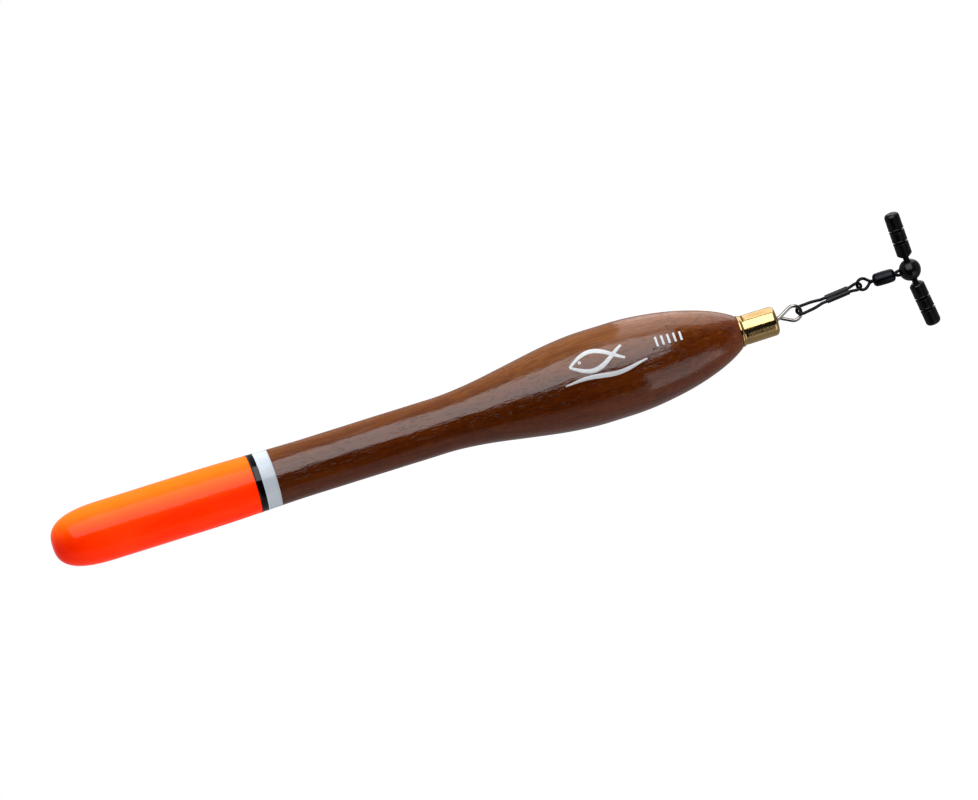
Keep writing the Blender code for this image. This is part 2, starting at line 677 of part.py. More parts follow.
def main():
    clear_scene()
    finishes = make_finishes()
    make_body(finishes)
    make_tip(finishes)
    make_band("black_band", 0, BLACK_BAND_BOTTOM, finishes["black"])
    make_band("white_band", BLACK_BAND_BOTTOM, WHITE_BAND_BOTTOM, finishes["white"])
    make_brass_base(finishes)
    eye_frame = make_eye(finishes)
    link_frame = make_link(finishes, eye_frame)
    make_sleeve(finishes, link_frame)
    swivel_frame = make_near_eye(finishes, link_frame)
    barrel_frame = make_barrel(finishes, swivel_frame)
    adaptor_frame = make_adaptor(finishes, barrel_frame)
    make_stops(finishes, adaptor_frame)
    bpy.context.view_layer.update()


main()
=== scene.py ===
# %% [markdown]
# # A wooden waggler float and its swivel rig
# A slender balsa float is turned on a lathe, stained, painted at the top and dipped in gloss lacquer. A
# brass load is glued into its tail, and a wire eye in the brass carries the link, the barrel swivel and
# the line adaptor. The working model is already fixed as the frame. Each cell below replaces one of its
# plain solids with a fine surface and gives it a real finish, in the same place and at the same size.

# %% Load the frame
import json
import math

import bpy
import numpy as np
from mathutils import Matrix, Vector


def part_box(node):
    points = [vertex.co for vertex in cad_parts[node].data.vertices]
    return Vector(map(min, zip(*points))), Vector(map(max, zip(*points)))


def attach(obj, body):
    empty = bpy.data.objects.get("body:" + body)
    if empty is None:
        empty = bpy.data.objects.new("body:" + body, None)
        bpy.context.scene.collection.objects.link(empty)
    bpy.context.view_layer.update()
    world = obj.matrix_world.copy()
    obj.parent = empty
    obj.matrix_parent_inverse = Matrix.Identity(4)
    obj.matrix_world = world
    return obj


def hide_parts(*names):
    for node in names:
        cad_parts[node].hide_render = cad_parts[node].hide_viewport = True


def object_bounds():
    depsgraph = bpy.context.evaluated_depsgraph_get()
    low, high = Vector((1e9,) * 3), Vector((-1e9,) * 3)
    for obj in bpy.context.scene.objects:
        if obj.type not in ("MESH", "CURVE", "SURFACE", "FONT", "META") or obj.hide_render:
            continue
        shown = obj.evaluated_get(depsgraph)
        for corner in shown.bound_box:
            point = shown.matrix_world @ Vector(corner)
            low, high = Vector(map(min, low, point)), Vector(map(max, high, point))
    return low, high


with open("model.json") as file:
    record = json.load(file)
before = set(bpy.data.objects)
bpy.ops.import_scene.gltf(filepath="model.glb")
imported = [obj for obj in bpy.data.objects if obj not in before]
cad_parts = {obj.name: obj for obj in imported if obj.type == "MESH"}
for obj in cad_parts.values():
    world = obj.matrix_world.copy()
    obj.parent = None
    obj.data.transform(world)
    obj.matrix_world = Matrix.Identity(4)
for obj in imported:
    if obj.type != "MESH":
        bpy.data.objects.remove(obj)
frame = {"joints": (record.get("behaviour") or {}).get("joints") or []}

cad_low, cad_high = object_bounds()
scene = bpy.context.scene
print("frame", [round(1000 * size, 1) for size in cad_high - cad_low], "mm")

# %% [markdown]
# ## Surfaces from rings
# Every piece here is round in some way: turned on a lathe, bent from wire or moulded. So one builder is
# enough. It takes rings of points, one ring after another along the piece, and joins each ring to the
# next with four-sided faces. Each row of the array is a ring, so numpy can place all the points at once.

# %% A mesh from an array of rings
MM = 0.001
SHARP_ANGLE = math.radians(40)


def signed_volume(points, triangles):
    """Sum over the faces of the box product of their three corners, over six."""
    a, b, c = (points[triangles[:, k]] for k in range(3))
    return float(np.einsum("ij,ij->i", a, np.cross(b, c)).sum() / 6)


def ring_piece(name, rings, ring_shaped=False):
    """Joins rings (row, point, xyz) into a closed mesh. A piece that isn't ring shaped has a middle
    point at each end that closes it with a fan. The signed volume says if it is inside out."""
    rows, around, _ = rings.shape
    index = np.arange(rows * around).reshape(rows, around)
    beside = np.roll(index, -1, axis=1)
    if ring_shaped:
        above, above_beside = np.roll(index, -1, axis=0), np.roll(beside, -1, axis=0)
    else:
        above, above_beside = index[1:], beside[1:]
    count = len(above)
    quads = np.stack([index[:count], beside[:count], above_beside, above], axis=-1).reshape(-1, 4)
    points = rings.reshape(-1, 3)
    fans = np.zeros((0, 3), int)
    if not ring_shaped:
        points = np.vstack([points, rings[0].mean(axis=0), rings[-1].mean(axis=0)])
        first, last = np.full(around, rows * around), np.full(around, rows * around + 1)
        fans = np.vstack([
            np.column_stack([first, beside[0], index[0]]),
            np.column_stack([last, index[-1], beside[-1]]),
        ])
    triangles = np.vstack([quads[:, [0, 1, 2]], quads[:, [0, 2, 3]], fans])
    volume = signed_volume(points - points.mean(axis=0), triangles)
    if volume < 0:
        quads, fans = quads[:, ::-1], fans[:, ::-1]
    mesh = bpy.data.meshes.new(name)
    mesh.from_pydata(points.tolist(), [], quads.tolist() + fans.tolist())
    mesh.shade_smooth()
    mesh.set_sharp_from_angle(angle=SHARP_ANGLE)
    piece = bpy.data.objects.new(name, mesh)
    scene.collection.objects.link(piece)
    print(f"{name}: {len(triangles)} triangles, {abs(volume) * 1e9:.2f} cubic mm")
    return piece


# %% [markdown]
# ## Lathe work
# A turned piece is a profile swept round its axis. The profile is a list of stretches, and each stretch
# is an array of (radius, height). Real turned corners are never knife sharp, so each corner gets a small
# arc, and those arcs are what catch the light as thin bright lines.

# %% Turning a profile
BODY_AROUND = 160
SMALL_AROUND = 72
ON_AXIS = 1e-7


def turned_rings(profile, around, axes=None):
    """Each profile point (r, z) becomes a ring: r cos(a) X + r sin(a) Y + z Z for a full turn of a."""
    turn = np.arange(around) * 2 * math.pi / around
    radius, height = profile[:, :1], profile[:, 1:]
    local = np.stack([
        radius * np.cos(turn), radius * np.sin(turn), height + 0 * turn
    ], axis=-1)
    return local if axes is None else placed(local, axes)


def placed(local, axes):
    """Local points into the model's frame: origin + x X + y Y + z Z, with axes = (origin, X, Y, Z)."""
    origin, across, depth, along = axes
    return origin + local[..., :1] * across + local[..., 1:2] * depth + local[..., 2:] * along


def corner_arc(radius, height, rounding, start_deg, end_deg, steps=7):
    """An arc of (radius, height) about a point, from one angle to another, 0 pointing outwards."""
    angle = np.radians(np.linspace(start_deg, end_deg, steps))
    return np.column_stack([radius + rounding * np.cos(angle), height + rounding * np.sin(angle)])


def straight(start, end, steps=2):
    """Points on a straight line between two (radius, height) points."""
    return np.linspace(np.array(start, float), np.array(end, float), steps)


def smooth_step(start, end, value):
    """0 before start, 1 after end, and 3 s^2 - 2 s^3 between, where s is the share of the way."""
    share = np.clip((value - start) / (end - start), 0.0, 1.0)
    return share * share * (3.0 - 2.0 * share)


# %% [markdown]
# ## Bent wire
# A wire's centre line is computed as arcs and straights, then resampled at even steps and softened a
# little, because real wire never kinks. A round section is carried along it. All the paths here lie
# nearly in a plane, so the plane's normal serves as the section's first side at every point, and no
# ring can twist. The ends are rounded off, as cut and tumbled wire is.

# %% Sweeping a section along a path
WIRE_AROUND = 28
END_STEPS = 6
CLOSING_SHARE = 0.98


def even_path(points, spacing, passes=0):
    """The path at even steps of its own length, softened by a 1-2-1 average for each pass."""
    points = np.asarray(points, float)
    length = np.concatenate([[0], np.cumsum(np.linalg.norm(np.diff(points, axis=0), axis=1))])
    places = np.linspace(0, length[-1], int(length[-1] / spacing) + 2)
    path = np.column_stack([np.interp(places, length, points[:, k]) for k in range(3)])
    for _ in range(passes):
        path[1:-1] = (path[:-2] + 2 * path[1:-1] + path[2:]) / 4
    return path


def swept_rings(path, radius, plane_normal, around=WIRE_AROUND):
    """Rings round a path: side = normal less its part along the path, other = forward x side. The
    radius may change along the path, and each end adds rings of a half ball."""
    forward = np.gradient(path, axis=0)
    forward /= np.linalg.norm(forward, axis=1, keepdims=True)
    radius = np.broadcast_to(np.asarray(radius, float), len(path))
    bulge = np.linspace(0, math.pi / 2, END_STEPS + 1)[1:]
    bulge[-1] = CLOSING_SHARE * math.pi / 2
    start = path[0] - forward[0] * radius[0] * np.sin(bulge[::-1, None])
    end = path[-1] + forward[-1] * radius[-1] * np.sin(bulge[:, None])
    centres = np.vstack([start, path, end])
    ahead = np.vstack([
        np.tile(forward[0], (END_STEPS, 1)), forward, np.tile(forward[-1], (END_STEPS, 1))
    ])
    sizes = np.concatenate([radius[0] * np.cos(bulge[::-1]), radius, radius[-1] * np.cos(bulge)])
    side = plane_normal - ahead * (ahead @ plane_normal)[:, None]
    side /= np.linalg.norm(side, axis=1, keepdims=True)
    other = np.cross(ahead, side)
    turn = (np.arange(around) * 2 * math.pi / around)[None, :, None]
    offset = np.cos(turn) * side[:, None] + np.sin(turn) * other[:, None]
    return centres[:, None] + sizes[:, None, None] * offset


# %% [markdown]
# ## The camera
# The float lies across the view with its tip to the lower left, seen from straight in front and
# slightly above. The lens is long, as a product photographer's is, so the shape is almost undistorted.

# %% Place the camera
LENS_MM = 800
SENSOR_MM = 36
VIEW_WIDTH = 146.7 * MM
VIEW_CENTRE = (1.45 * MM, 0.0, -37.67 * MM)
CAMERA_ELEVATION_DEG = 6.0
CAMERA_ROLL_DEG = 107.4


def add_camera():
    """The camera's right, up and back vectors, turned about its line of sight by the roll."""
    elevation, roll = math.radians(CAMERA_ELEVATION_DEG), math.radians(CAMERA_ROLL_DEG)
    level = np.array([1.0, 0.0, 0.0])
    upright = np.array([0.0, math.sin(elevation), math.cos(elevation)])
    back = np.cross(level, upright)
    right = level * math.cos(roll) - upright * math.sin(roll)
    up = level * math.sin(roll) + upright * math.cos(roll)
    distance = VIEW_WIDTH * LENS_MM / SENSOR_MM
    matrix = np.eye(4)
    matrix[:3, :3] = np.column_stack([right, up, back])
    matrix[:3, 3] = np.array(VIEW_CENTRE) + back * distance
    data = bpy.data.cameras.new("camera")
    data.lens, data.sensor_width = LENS_MM, SENSOR_MM
    data.clip_end = 100.0
    camera = bpy.data.objects.new("camera", data)
    camera.matrix_world = Matrix(matrix.tolist())
    scene.collection.objects.link(camera)
    scene.camera = camera
    print("camera distance", round(distance, 3), "m")


add_camera()
scene.view_settings.view_transform = "Standard"

# %% [markdown]
# ## The light
# Gloss lacquer shows the studio more than it shows itself. One tall softbox stands to the right of the
# camera and draws the long milky strip down the float. The camera's own side is dark, so the lacquer
# beside the strip stays deep. What a glossy coat mirrors and what lights its colour are set apart: the
# softbox and two white cards by the rig show in reflections only, and the softbox's own glow and a big
# lamp on the +X side light the colours only.

# %% Softbox, side lamp, cards and sky
GLOSS, MATTE = "gloss", "matte"
# Name, bearing in degrees, distance, middle height, width, height (all in metres), radiance, seen in
PANELS = (
    ("softbox", 36.5, 0.60, 0.01, 0.70, 0.74, 2.3, GLOSS),
    ("softbox_glow", 36.5, 0.60, 0.01, 0.70, 0.74, 0.85, MATTE),
    ("side_lamp", 95, 0.70, -0.035, 0.70, 0.80, 3.9, MATTE),
    ("low_card", -56, 0.35, -0.285, 0.30, 0.28, 0.75, GLOSS),
    ("high_card", 112, 0.35, -0.265, 0.55, 0.30, 1.1, GLOSS),
)
# Place from -Y (0) to +Y (1), grey
SKY_STOPS = ((0.0, 0.01), (0.27, 0.012), (0.28, 0.19), (0.55, 0.2), (0.75, 0.22), (1.0, 0.3))
SKY_BLUE = 1.03


def add_panel(name, bearing_deg, distance, centre_z, width, height, radiance, seen_in):
    """A flat lamp on a bearing from -Y towards +X. Its power is pi x area x radiance."""
    bearing = math.radians(bearing_deg)
    towards = np.array([math.sin(bearing), -math.cos(bearing), 0.0])
    level = np.array([math.cos(bearing), math.sin(bearing), 0.0])
    matrix = np.eye(4)
    matrix[:3, :3] = np.column_stack([level, [0, 0, 1], towards])
    matrix[:3, 3] = towards * distance + np.array([0, 0, centre_z])
    data = bpy.data.lights.new(name, "AREA")
    data.shape = "RECTANGLE"
    data.size, data.size_y = width, height
    data.energy = math.pi * width * height * radiance
    lamp = bpy.data.objects.new(name, data)
    lamp.matrix_world = Matrix(matrix.tolist())
    lamp.visible_camera = False
    lamp.visible_glossy = seen_in == GLOSS
    lamp.visible_diffuse = seen_in == MATTE
    scene.collection.objects.link(lamp)


for panel in PANELS:
    add_panel(*panel)


def add_sky():
    """White to the camera. In other rays: dark round -Y, and a soft grey beside and behind."""
    world = bpy.data.worlds.new("studio")
    world.use_nodes = True
    scene.world = world
    nodes, links = world.node_tree.nodes, world.node_tree.links
    place = nodes.new("ShaderNodeTexCoord")
    split = nodes.new("ShaderNodeSeparateXYZ")
    ramp = nodes.new("ShaderNodeValToRGB")
    seen = nodes.new("ShaderNodeLightPath")
    choose = nodes.new("ShaderNodeMix")
    choose.data_type = "RGBA"
    half = nodes.new("ShaderNodeMath")
    half.operation = "MULTIPLY_ADD"
    half.inputs[1].default_value = 0.5
    half.inputs[2].default_value = 0.5
    ramp.color_ramp.elements[0].position, ramp.color_ramp.elements[1].position = 0.0, 1.0
    for place_on_ramp, _ in SKY_STOPS[1:-1]:
        ramp.color_ramp.elements.new(place_on_ramp)
    for element, (_, grey) in zip(ramp.color_ramp.elements, SKY_STOPS):
        element.color = (grey, grey, grey * SKY_BLUE, 1)
    links.new(place.outputs["Generated"], split.inputs[0])
    links.new(split.outputs["Y"], half.inputs[0])
    links.new(half.outputs[0], ramp.inputs["Fac"])
    links.new(seen.outputs["Is Camera Ray"], choose.inputs["Factor"])
    links.new(ramp.outputs["Color"], choose.inputs["A"])
    choose.inputs["B"].default_value = (1, 1, 1, 1)
    links.new(choose.outputs["Result"], nodes["Background"].inputs["Color"])


add_sky()

# %% [markdown]
# ## The floor
# A pale sheet well below the float. It glows a little, as paper under its own lamps does, and it is left
# out of reflections, so that the lacquer shows only the panels and the room.

# %% Make the floor
FLOOR_DROP = 0.15
FLOOR_HALF = 3.0
FLOOR_STEPS = 9
PAPER_GREY = 0.86
PAPER_GLOW = 0.9


def add_floor():
    """A flat grid of points at one height, joined by squares."""
    ticks = np.linspace(-FLOOR_HALF, FLOOR_HALF, FLOOR_STEPS)
    x, y = np.meshgrid(ticks, ticks)
    points = np.column_stack([x.ravel(), y.ravel(), np.full(x.size, cad_low.z - FLOOR_DROP)])
    index = np.arange(x.size).reshape(x.shape)
    squares = np.stack([index[:-1, :-1], index[:-1, 1:], index[1:, 1:], index[1:, :-1]], axis=-1)
    mesh = bpy.data.meshes.new("studio_floor")
    mesh.from_pydata(points.tolist(), [], squares.reshape(-1, 4).tolist())
    floor = bpy.data.objects.new("studio_floor", mesh)
    scene.collection.objects.link(floor)
    paper = bpy.data.materials.new("studio_paper")
    paper.use_nodes = True
    shader = paper.node_tree.nodes["Principled BSDF"]
    shader.inputs["Base Color"].default_value = (PAPER_GREY, PAPER_GREY, PAPER_GREY, 1)
    shader.inputs["Roughness"].default_value = 0.9
    shader.inputs["Emission Color"].default_value = (1, 1, 1, 1)
    shader.inputs["Emission Strength"].default_value = PAPER_GLOW
    mesh.materials.append(paper)
    floor.visible_glossy = False


add_floor()

# %% [markdown]
# ## Building materials
# Every finish is one Principled shader whose colour, roughness and bump come from noise in the object's
# own coordinates, in metres. A few one-line helpers keep the cells short: one adds a node, one joins a
# value or a socket to an input, and the others make the patterns that are used again and again.

# %% Node helpers


def fill(tree, socket, value):
    """Joins a socket to an input, or sets the input to a number, a vector or a colour."""
    if isinstance(value, bpy.types.NodeSocket):
        tree.links.new(value, socket)
    else:
        socket.default_value = value


def node(tree, kind, **inputs):
    """Adds a node and fills its inputs by name, with _ for each space."""
    made = tree.nodes.new("ShaderNode" + kind)
    for name, value in inputs.items():
        fill(tree, made.inputs[name.replace("_", " ")], value)
    return made


def maths(tree, operation, first, second=0.0):
    """One sum, product or comparison of two values."""
    made = tree.nodes.new("ShaderNodeMath")
    made.operation = operation
    fill(tree, made.inputs[0], first)
    fill(tree, made.inputs[1], second)
    return made.outputs[0]


def local_place(tree, scale=(1, 1, 1)):
    """The object's own coordinates, stretched."""
    place = tree.nodes.new("ShaderNodeTexCoord").outputs["Object"]
    return node(tree, "Mapping", Vector=place, Scale=scale).outputs[0]


def noise(tree, place, per_metre=1.0, detail=3.0, roughness=0.5):
    """Smooth noise between about 0.2 and 0.8."""
    made = node(tree, "TexNoise", Vector=place, Scale=per_metre, Detail=detail, Roughness=roughness)
    return made.outputs["Fac"]


def soft_range(tree, value, low, high, start=0.0, end=1.0):
    """A smooth step: start below low, end above high."""
    made = node(tree, "MapRange", Value=value, From_Min=low, From_Max=high, To_Min=start, To_Max=end)
    made.interpolation_type = "SMOOTHSTEP"
    return made.outputs[0]


def mixed_colour(tree, share, first, second):
    """Goes from the first colour to the second as the share goes from 0 to 1."""
    made = tree.nodes.new("ShaderNodeMix")
    made.data_type = "RGBA"
    fill(tree, made.inputs["Factor"], share)
    for name, colour in (("A", first), ("B", second)):
        is_socket = isinstance(colour, bpy.types.NodeSocket)
        fill(tree, made.inputs[name], colour if is_socket else (*colour, 1.0))
    return made.outputs["Result"]


def new_finish(name, roughness, metallic=0.0):
    """A material, its node tree and its one Principled shader."""
    finish = bpy.data.materials.new(name)
    finish.use_nodes = True
    shader = finish.node_tree.nodes["Principled BSDF"]
    shader.inputs["Roughness"].default_value = roughness
    shader.inputs["Metallic"].default_value = metallic
    return finish, finish.node_tree, shader


def add_bump(tree, shader, *layers):
    """Stacks bumps of (height from 0 to 1, real depth in metres) and feeds the last normal in."""
    normal = None
    for height, depth in layers:
        bump = node(tree, "Bump", Height=height, Strength=1.0, Distance=depth)
        if normal is not None:
            tree.links.new(normal, bump.inputs["Normal"])
        normal = bump.outputs["Normal"]
    tree.links.new(normal, shader.inputs["Normal"])


# %% [markdown]
# ## Effects that several finishes share
# Three effects turn up again and again: the slow ripple of a dipped or brushed coat, the fine rings that
# a lathe leaves, and the light handling marks that dull a gloss. Each is a node group with named inputs,
# so that a finish only says how large and how strong it is.

# %% Node groups


def new_group(name, inputs, outputs):
    """A shader node group with named number inputs and outputs. Returns it with its two end nodes."""
    group = bpy.data.node_groups.new(name, "ShaderNodeTree")
    for label, value in inputs.items():
        socket = group.interface.new_socket(label, in_out="INPUT", socket_type="NodeSocketFloat")
        socket.default_value = value
    for label in outputs:
        group.interface.new_socket(label, in_out="OUTPUT", socket_type="NodeSocketFloat")
    return group, group.nodes.new("NodeGroupInput").outputs, group.nodes.new("NodeGroupOutput").inputs


def use_group(tree, group, **inputs):
    """Places a group in a material and fills its inputs by name."""
    made = tree.nodes.new("ShaderNodeGroup")
    made.node_tree = group
    for name, value in inputs.items():
        fill(tree, made.inputs[name.replace("_", " ")], value)
    return made.outputs


def scaled_place(tree, across, along):
    """Object coordinates times (across, across, along)."""
    scale = node(tree, "CombineXYZ", X=across, Y=across, Z=along).outputs[0]
    place = tree.nodes.new("ShaderNodeTexCoord").outputs["Object"]
    made = tree.nodes.new("ShaderNodeVectorMath")
    made.operation = "MULTIPLY"
    tree.links.new(place, made.inputs[0])
    tree.links.new(scale, made.inputs[1])
    return made.outputs[0]


def make_ripple_group():
    """Height of a liquid coat: slow noise plus a third as much noise three times finer."""
    group, given, result = new_group("coat_ripple", {"Across": 400.0, "Along": 150.0}, ["Height"])
    place = scaled_place(group, given["Across"], given["Along"])
    slow = noise(group, place, 1.0, 1.0)
    total = maths(group, "MULTIPLY_ADD", noise(group, place, 3.1, 2.0), 0.33)
    fill(group, total.node.inputs[2], slow)
    fill(group, result["Height"], total)
    return group


def make_lathe_group():
    """Rings square to Z: noise that is stretched flat, so it changes along the axis only."""
    group, given, result = new_group("lathe_rings", {"Rings": 9000.0, "Wander": 120.0}, ["Height"])
    rings = noise(group, scaled_place(group, given["Wander"], given["Rings"]), 1.0, 2.0)
    fill(group, result["Height"], rings)
    return group


def make_wear_group():
    """Handling marks: large soft patches times fine specks, from 0 where clean to 1 where dull."""
    group, given, result = new_group("handling_wear", {"Scale": 900.0, "Amount": 0.5}, ["Mask"])
    place = scaled_place(group, given["Scale"], given["Scale"])
    patches = soft_range(group, noise(group, place, 0.35, 2.0), 0.42, 0.62)
    specks = soft_range(group, noise(group, place, 4.0, 4.0, 0.65), 0.5, 0.66)
    marks = maths(group, "MULTIPLY_ADD", specks, 0.5)
    fill(group, marks.node.inputs[2], maths(group, "MULTIPLY", patches, 0.5))
    fill(group, result["Mask"], maths(group, "MULTIPLY", marks, given["Amount"]))
    return group


coat_ripple = make_ripple_group()
lathe_rings = make_lathe_group()
handling_wear = make_wear_group()
print("groups", [group.name for group in bpy.data.node_groups])

# %% [markdown]
# ## Stained balsa under lacquer
# Balsa is soft and full of pores that run along the stick. The stain goes in unevenly, and sanding leaves
# faint rings and small pits. The lacquer is glossy but not level: it follows the grain, so the edge of
# each reflection is ragged along the grain. Colour comes from noises stretched along Z. The gloss comes
# from a low roughness over three bumps, for the coat, the grain and the pores. The stain is painted
# paler towards +X, the lit side: painted light.

# %% The wood's finish
STAIN_DEEP = (0.078, 0.0115, 0.0004)
STAIN_MID = (0.132, 0.025, 0.0012)
STAIN_WARM = (0.25, 0.062, 0.003)
# The next colour is painted light: the stain as it looks on the lit +X side.
STAIN_PAINTED_LIGHT = (0.26, 0.088, 0.018)
PORE_BROWN = (0.022, 0.006, 0.002)
FIBRE_SHARE, FIGURE_SHARE, RING_SHARE = 0.45, 0.4, 0.15
PIT_CHANCE = 0.82
LACQUER_IOR = 1.65
# Where the painted light starts and ends across the float, towards the lit +X side.
LIT_SIDE_START = -1.0 * MM
LIT_SIDE_END = 4.2 * MM
WOOD_LIT_SIDE_START = 0.5 * MM
WOOD_LIT_SIDE_END = 6.0 * MM


def lit_side_share(tree, start=LIT_SIDE_START, end=LIT_SIDE_END):
    """0 on the -X side and 1 on the +X side, the lit side: the share of painted light there."""
    across = node(tree, "SeparateXYZ", Vector=local_place(tree)).outputs["X"]
    return soft_range(tree, across, start, end)


def make_wood():
    """Slow figure, fine fibres, warm flecks near the tail, dark pores and pits, faint rings, and painted
    light on the +X side.
    """
    finish, tree, shader = new_finish("lacquered_balsa", 0.1)
    shader.inputs["IOR"].default_value = LACQUER_IOR
    fibres = noise(tree, local_place(tree, (2600, 2600, 130)), 1.0, 4.0, 0.6)
    figure = noise(tree, local_place(tree, (420, 420, 45)), 1.0, 3.0, 0.55)
    rings = use_group(tree, lathe_rings, Rings=1500.0, Wander=160.0)["Height"]
    tone = maths(tree, "MULTIPLY", fibres, FIBRE_SHARE)
    tone = maths(tree, "ADD", tone, maths(tree, "MULTIPLY", figure, FIGURE_SHARE))
    tone = maths(tree, "ADD", tone, maths(tree, "MULTIPLY", rings, RING_SHARE))
    colour = mixed_colour(tree, soft_range(tree, tone, 0.36, 0.62), STAIN_DEEP, STAIN_MID)
    streaks = soft_range(tree, fibres, 0.3, 0.65, 0.45, 1.0)
    # Painted light: the stain is made paler along the streaks on the lit +X side.
    painted_lit_side = maths(tree, "MULTIPLY", lit_side_share(tree, WOOD_LIT_SIDE_START, WOOD_LIT_SIDE_END), streaks)
    colour = mixed_colour(tree, painted_lit_side, colour, STAIN_PAINTED_LIGHT)
    flecks = noise(tree, local_place(tree, (1500, 1500, 520)), 1.0, 4.0, 0.6)
    height = node(tree, "SeparateXYZ", Vector=local_place(tree)).outputs["Z"]
    low_down = soft_range(tree, height, -0.045, -0.074, 0.35, 1.0)
    low_down = maths(tree, "MULTIPLY", low_down, 0.55)
    warm = maths(tree, "MULTIPLY", soft_range(tree, flecks, 0.55, 0.72), low_down)
    colour = mixed_colour(tree, warm, colour, STAIN_WARM)
    dashes = noise(tree, local_place(tree, (5200, 5200, 620)), 1.0, 2.0)
    pores = soft_range(tree, dashes, 0.62, 0.7)
    pits = tree.nodes.new("ShaderNodeTexVoronoi")
    fill(tree, pits.inputs["Vector"], local_place(tree, (700, 700, 330)))
    pits.inputs["Scale"].default_value = 1.0
    chance = node(tree, "SeparateXYZ", Vector=pits.outputs["Color"]).outputs["X"]
    small = soft_range(tree, pits.outputs["Distance"], 0.05, 0.14, 1.0, 0.0)
    pitted = maths(tree, "MULTIPLY", small, maths(tree, "GREATER_THAN", chance, PIT_CHANCE))
    holes = maths(tree, "MAXIMUM", maths(tree, "MULTIPLY", pores, 0.55), pitted)
    colour = mixed_colour(tree, holes, colour, PORE_BROWN)
    fill(tree, shader.inputs["Base Color"], colour)
    wear = use_group(tree, handling_wear, Scale=700.0, Amount=0.12)["Mask"]
    fill(tree, shader.inputs["Roughness"], maths(tree, "ADD", wear, 0.05))
    ripple = use_group(tree, coat_ripple, Across=900.0, Along=200.0)["Height"]
    grain = noise(tree, local_place(tree, (2400, 2400, 420)), 1.0, 3.0, 0.6)
    sunk = maths(tree, "SUBTRACT", 1.0, holes)
    add_bump(tree, shader, (ripple, 0.04 * MM), (grain, 0.032 * MM), (sunk, 0.022 * MM))
    return finish


wood_finish = make_wood()

# %% [markdown]
# ## Paint
# The tip is fluorescent orange over white primer. Fluorescent paint turns blue and green light into
# orange, so it looks brighter than the light that falls on it. A little emission of the same colour is a
# painted glow that stands for that, and the coat is painted yellower, with a stronger glow, towards +X,
# the lit side: painted light. The black and white bands are gloss enamel, laid on with a brush while the
# float turned in the lathe, so their ripple runs round the float.

# %% The paints
ORANGE = (1.0, 0.042, 0.0)
ORANGE_THIN = (1.0, 0.062, 0.001)
# Painted light: the orange as it looks on the lit +X side.
ORANGE_PAINTED_LIGHT = (1.0, 0.2, 0.003)
# Painted glow: emission that stands in for fluorescence, stronger on the lit +X side.
ORANGE_PAINTED_GLOW = (0.5, 0.003, 0.0)
ORANGE_PAINTED_GLOW_LIT_SIDE = (0.5, 0.02, 0.0)
ORANGE_IOR = 1.32
ENAMEL_IOR = 1.5


def make_paint(name, colour, thin, painted_lit_side=None, painted_glow=None, depth=0.012 * MM, ior=ENAMEL_IOR):
    """A gloss coat whose colour is paler where it is thin, with brush ripple and dust in its gloss.
    Painted light makes it lighter towards +X, and emission gives it a painted glow.
    """
    finish, tree, shader = new_finish(name, 0.09)
    shader.inputs["IOR"].default_value = ior
    patches = soft_range(tree, noise(tree, local_place(tree, (260, 260, 90)), 1.0, 3.0), 0.4, 0.7)
    shade = mixed_colour(tree, patches, colour, thin)
    # Painted light: the colour goes lighter towards the lit +X side.
    if painted_lit_side:
        shade = mixed_colour(tree, lit_side_share(tree), shade, painted_lit_side)
    fill(tree, shader.inputs["Base Color"], shade)
    # Painted glow: emission, stronger towards the lit +X side.
    if painted_glow:
        fill(tree, shader.inputs["Emission Color"], mixed_colour(tree, lit_side_share(tree), *painted_glow))
        shader.inputs["Emission Strength"].default_value = 1.0
    wear = use_group(tree, handling_wear, Scale=900.0, Amount=0.1)["Mask"]
    fill(tree, shader.inputs["Roughness"], maths(tree, "ADD", wear, 0.075))
    ripple = use_group(tree, coat_ripple, Across=520.0, Along=330.0)["Height"]
    brush = use_group(tree, lathe_rings, Rings=3600.0, Wander=260.0)["Height"]
    add_bump(tree, shader, (ripple, 3 * depth), (brush, depth))
    return finish


orange_finish = make_paint(
    "fluorescent_orange", ORANGE, ORANGE_THIN, ORANGE_PAINTED_LIGHT, (ORANGE_PAINTED_GLOW, ORANGE_PAINTED_GLOW_LIT_SIDE), ior=ORANGE_IOR
)
black_finish = make_paint("black_enamel", (0.0014, 0.0014, 0.002), (0.003, 0.003, 0.004))
white_finish = make_paint("white_enamel", (0.70, 0.77, 0.86), (0.76, 0.81, 0.87))
mark_finish = make_paint("white_print", (0.80, 0.83, 0.87), (0.86, 0.88, 0.9), depth=0.004 * MM)

# %% [markdown]
# ## Metals
# The brass is turned and polished: its colour barely changes, but fine rings from the tool blur its
# reflections along the axis. The eye is bright drawn stainless wire with faint lengthwise scratches. The
# link and swivel are plated black nickel, a dark and nearly neutral metal with a satin skin.

# %% The metals


def make_metal(name, colour, tarnish, roughness, rings, depth, wear_scale=1400.0):
    """Metal that darkens towards its tarnish colour and dulls where it has been handled."""
    finish, tree, shader = new_finish(name, roughness, 1.0)
    wear = use_group(tree, handling_wear, Scale=wear_scale, Amount=0.8)["Mask"]
    fill(tree, shader.inputs["Base Color"], mixed_colour(tree, wear, colour, tarnish))
    dull = maths(tree, "MULTIPLY", wear, 0.12)
    fill(tree, shader.inputs["Roughness"], maths(tree, "ADD", dull, roughness))
    marks = use_group(tree, lathe_rings, Rings=rings, Wander=500.0)["Height"]
    uneven = use_group(tree, coat_ripple, Across=1100.0, Along=700.0)["Height"]
    add_bump(tree, shader, (uneven, 2 * depth), (marks, depth))
    return finish


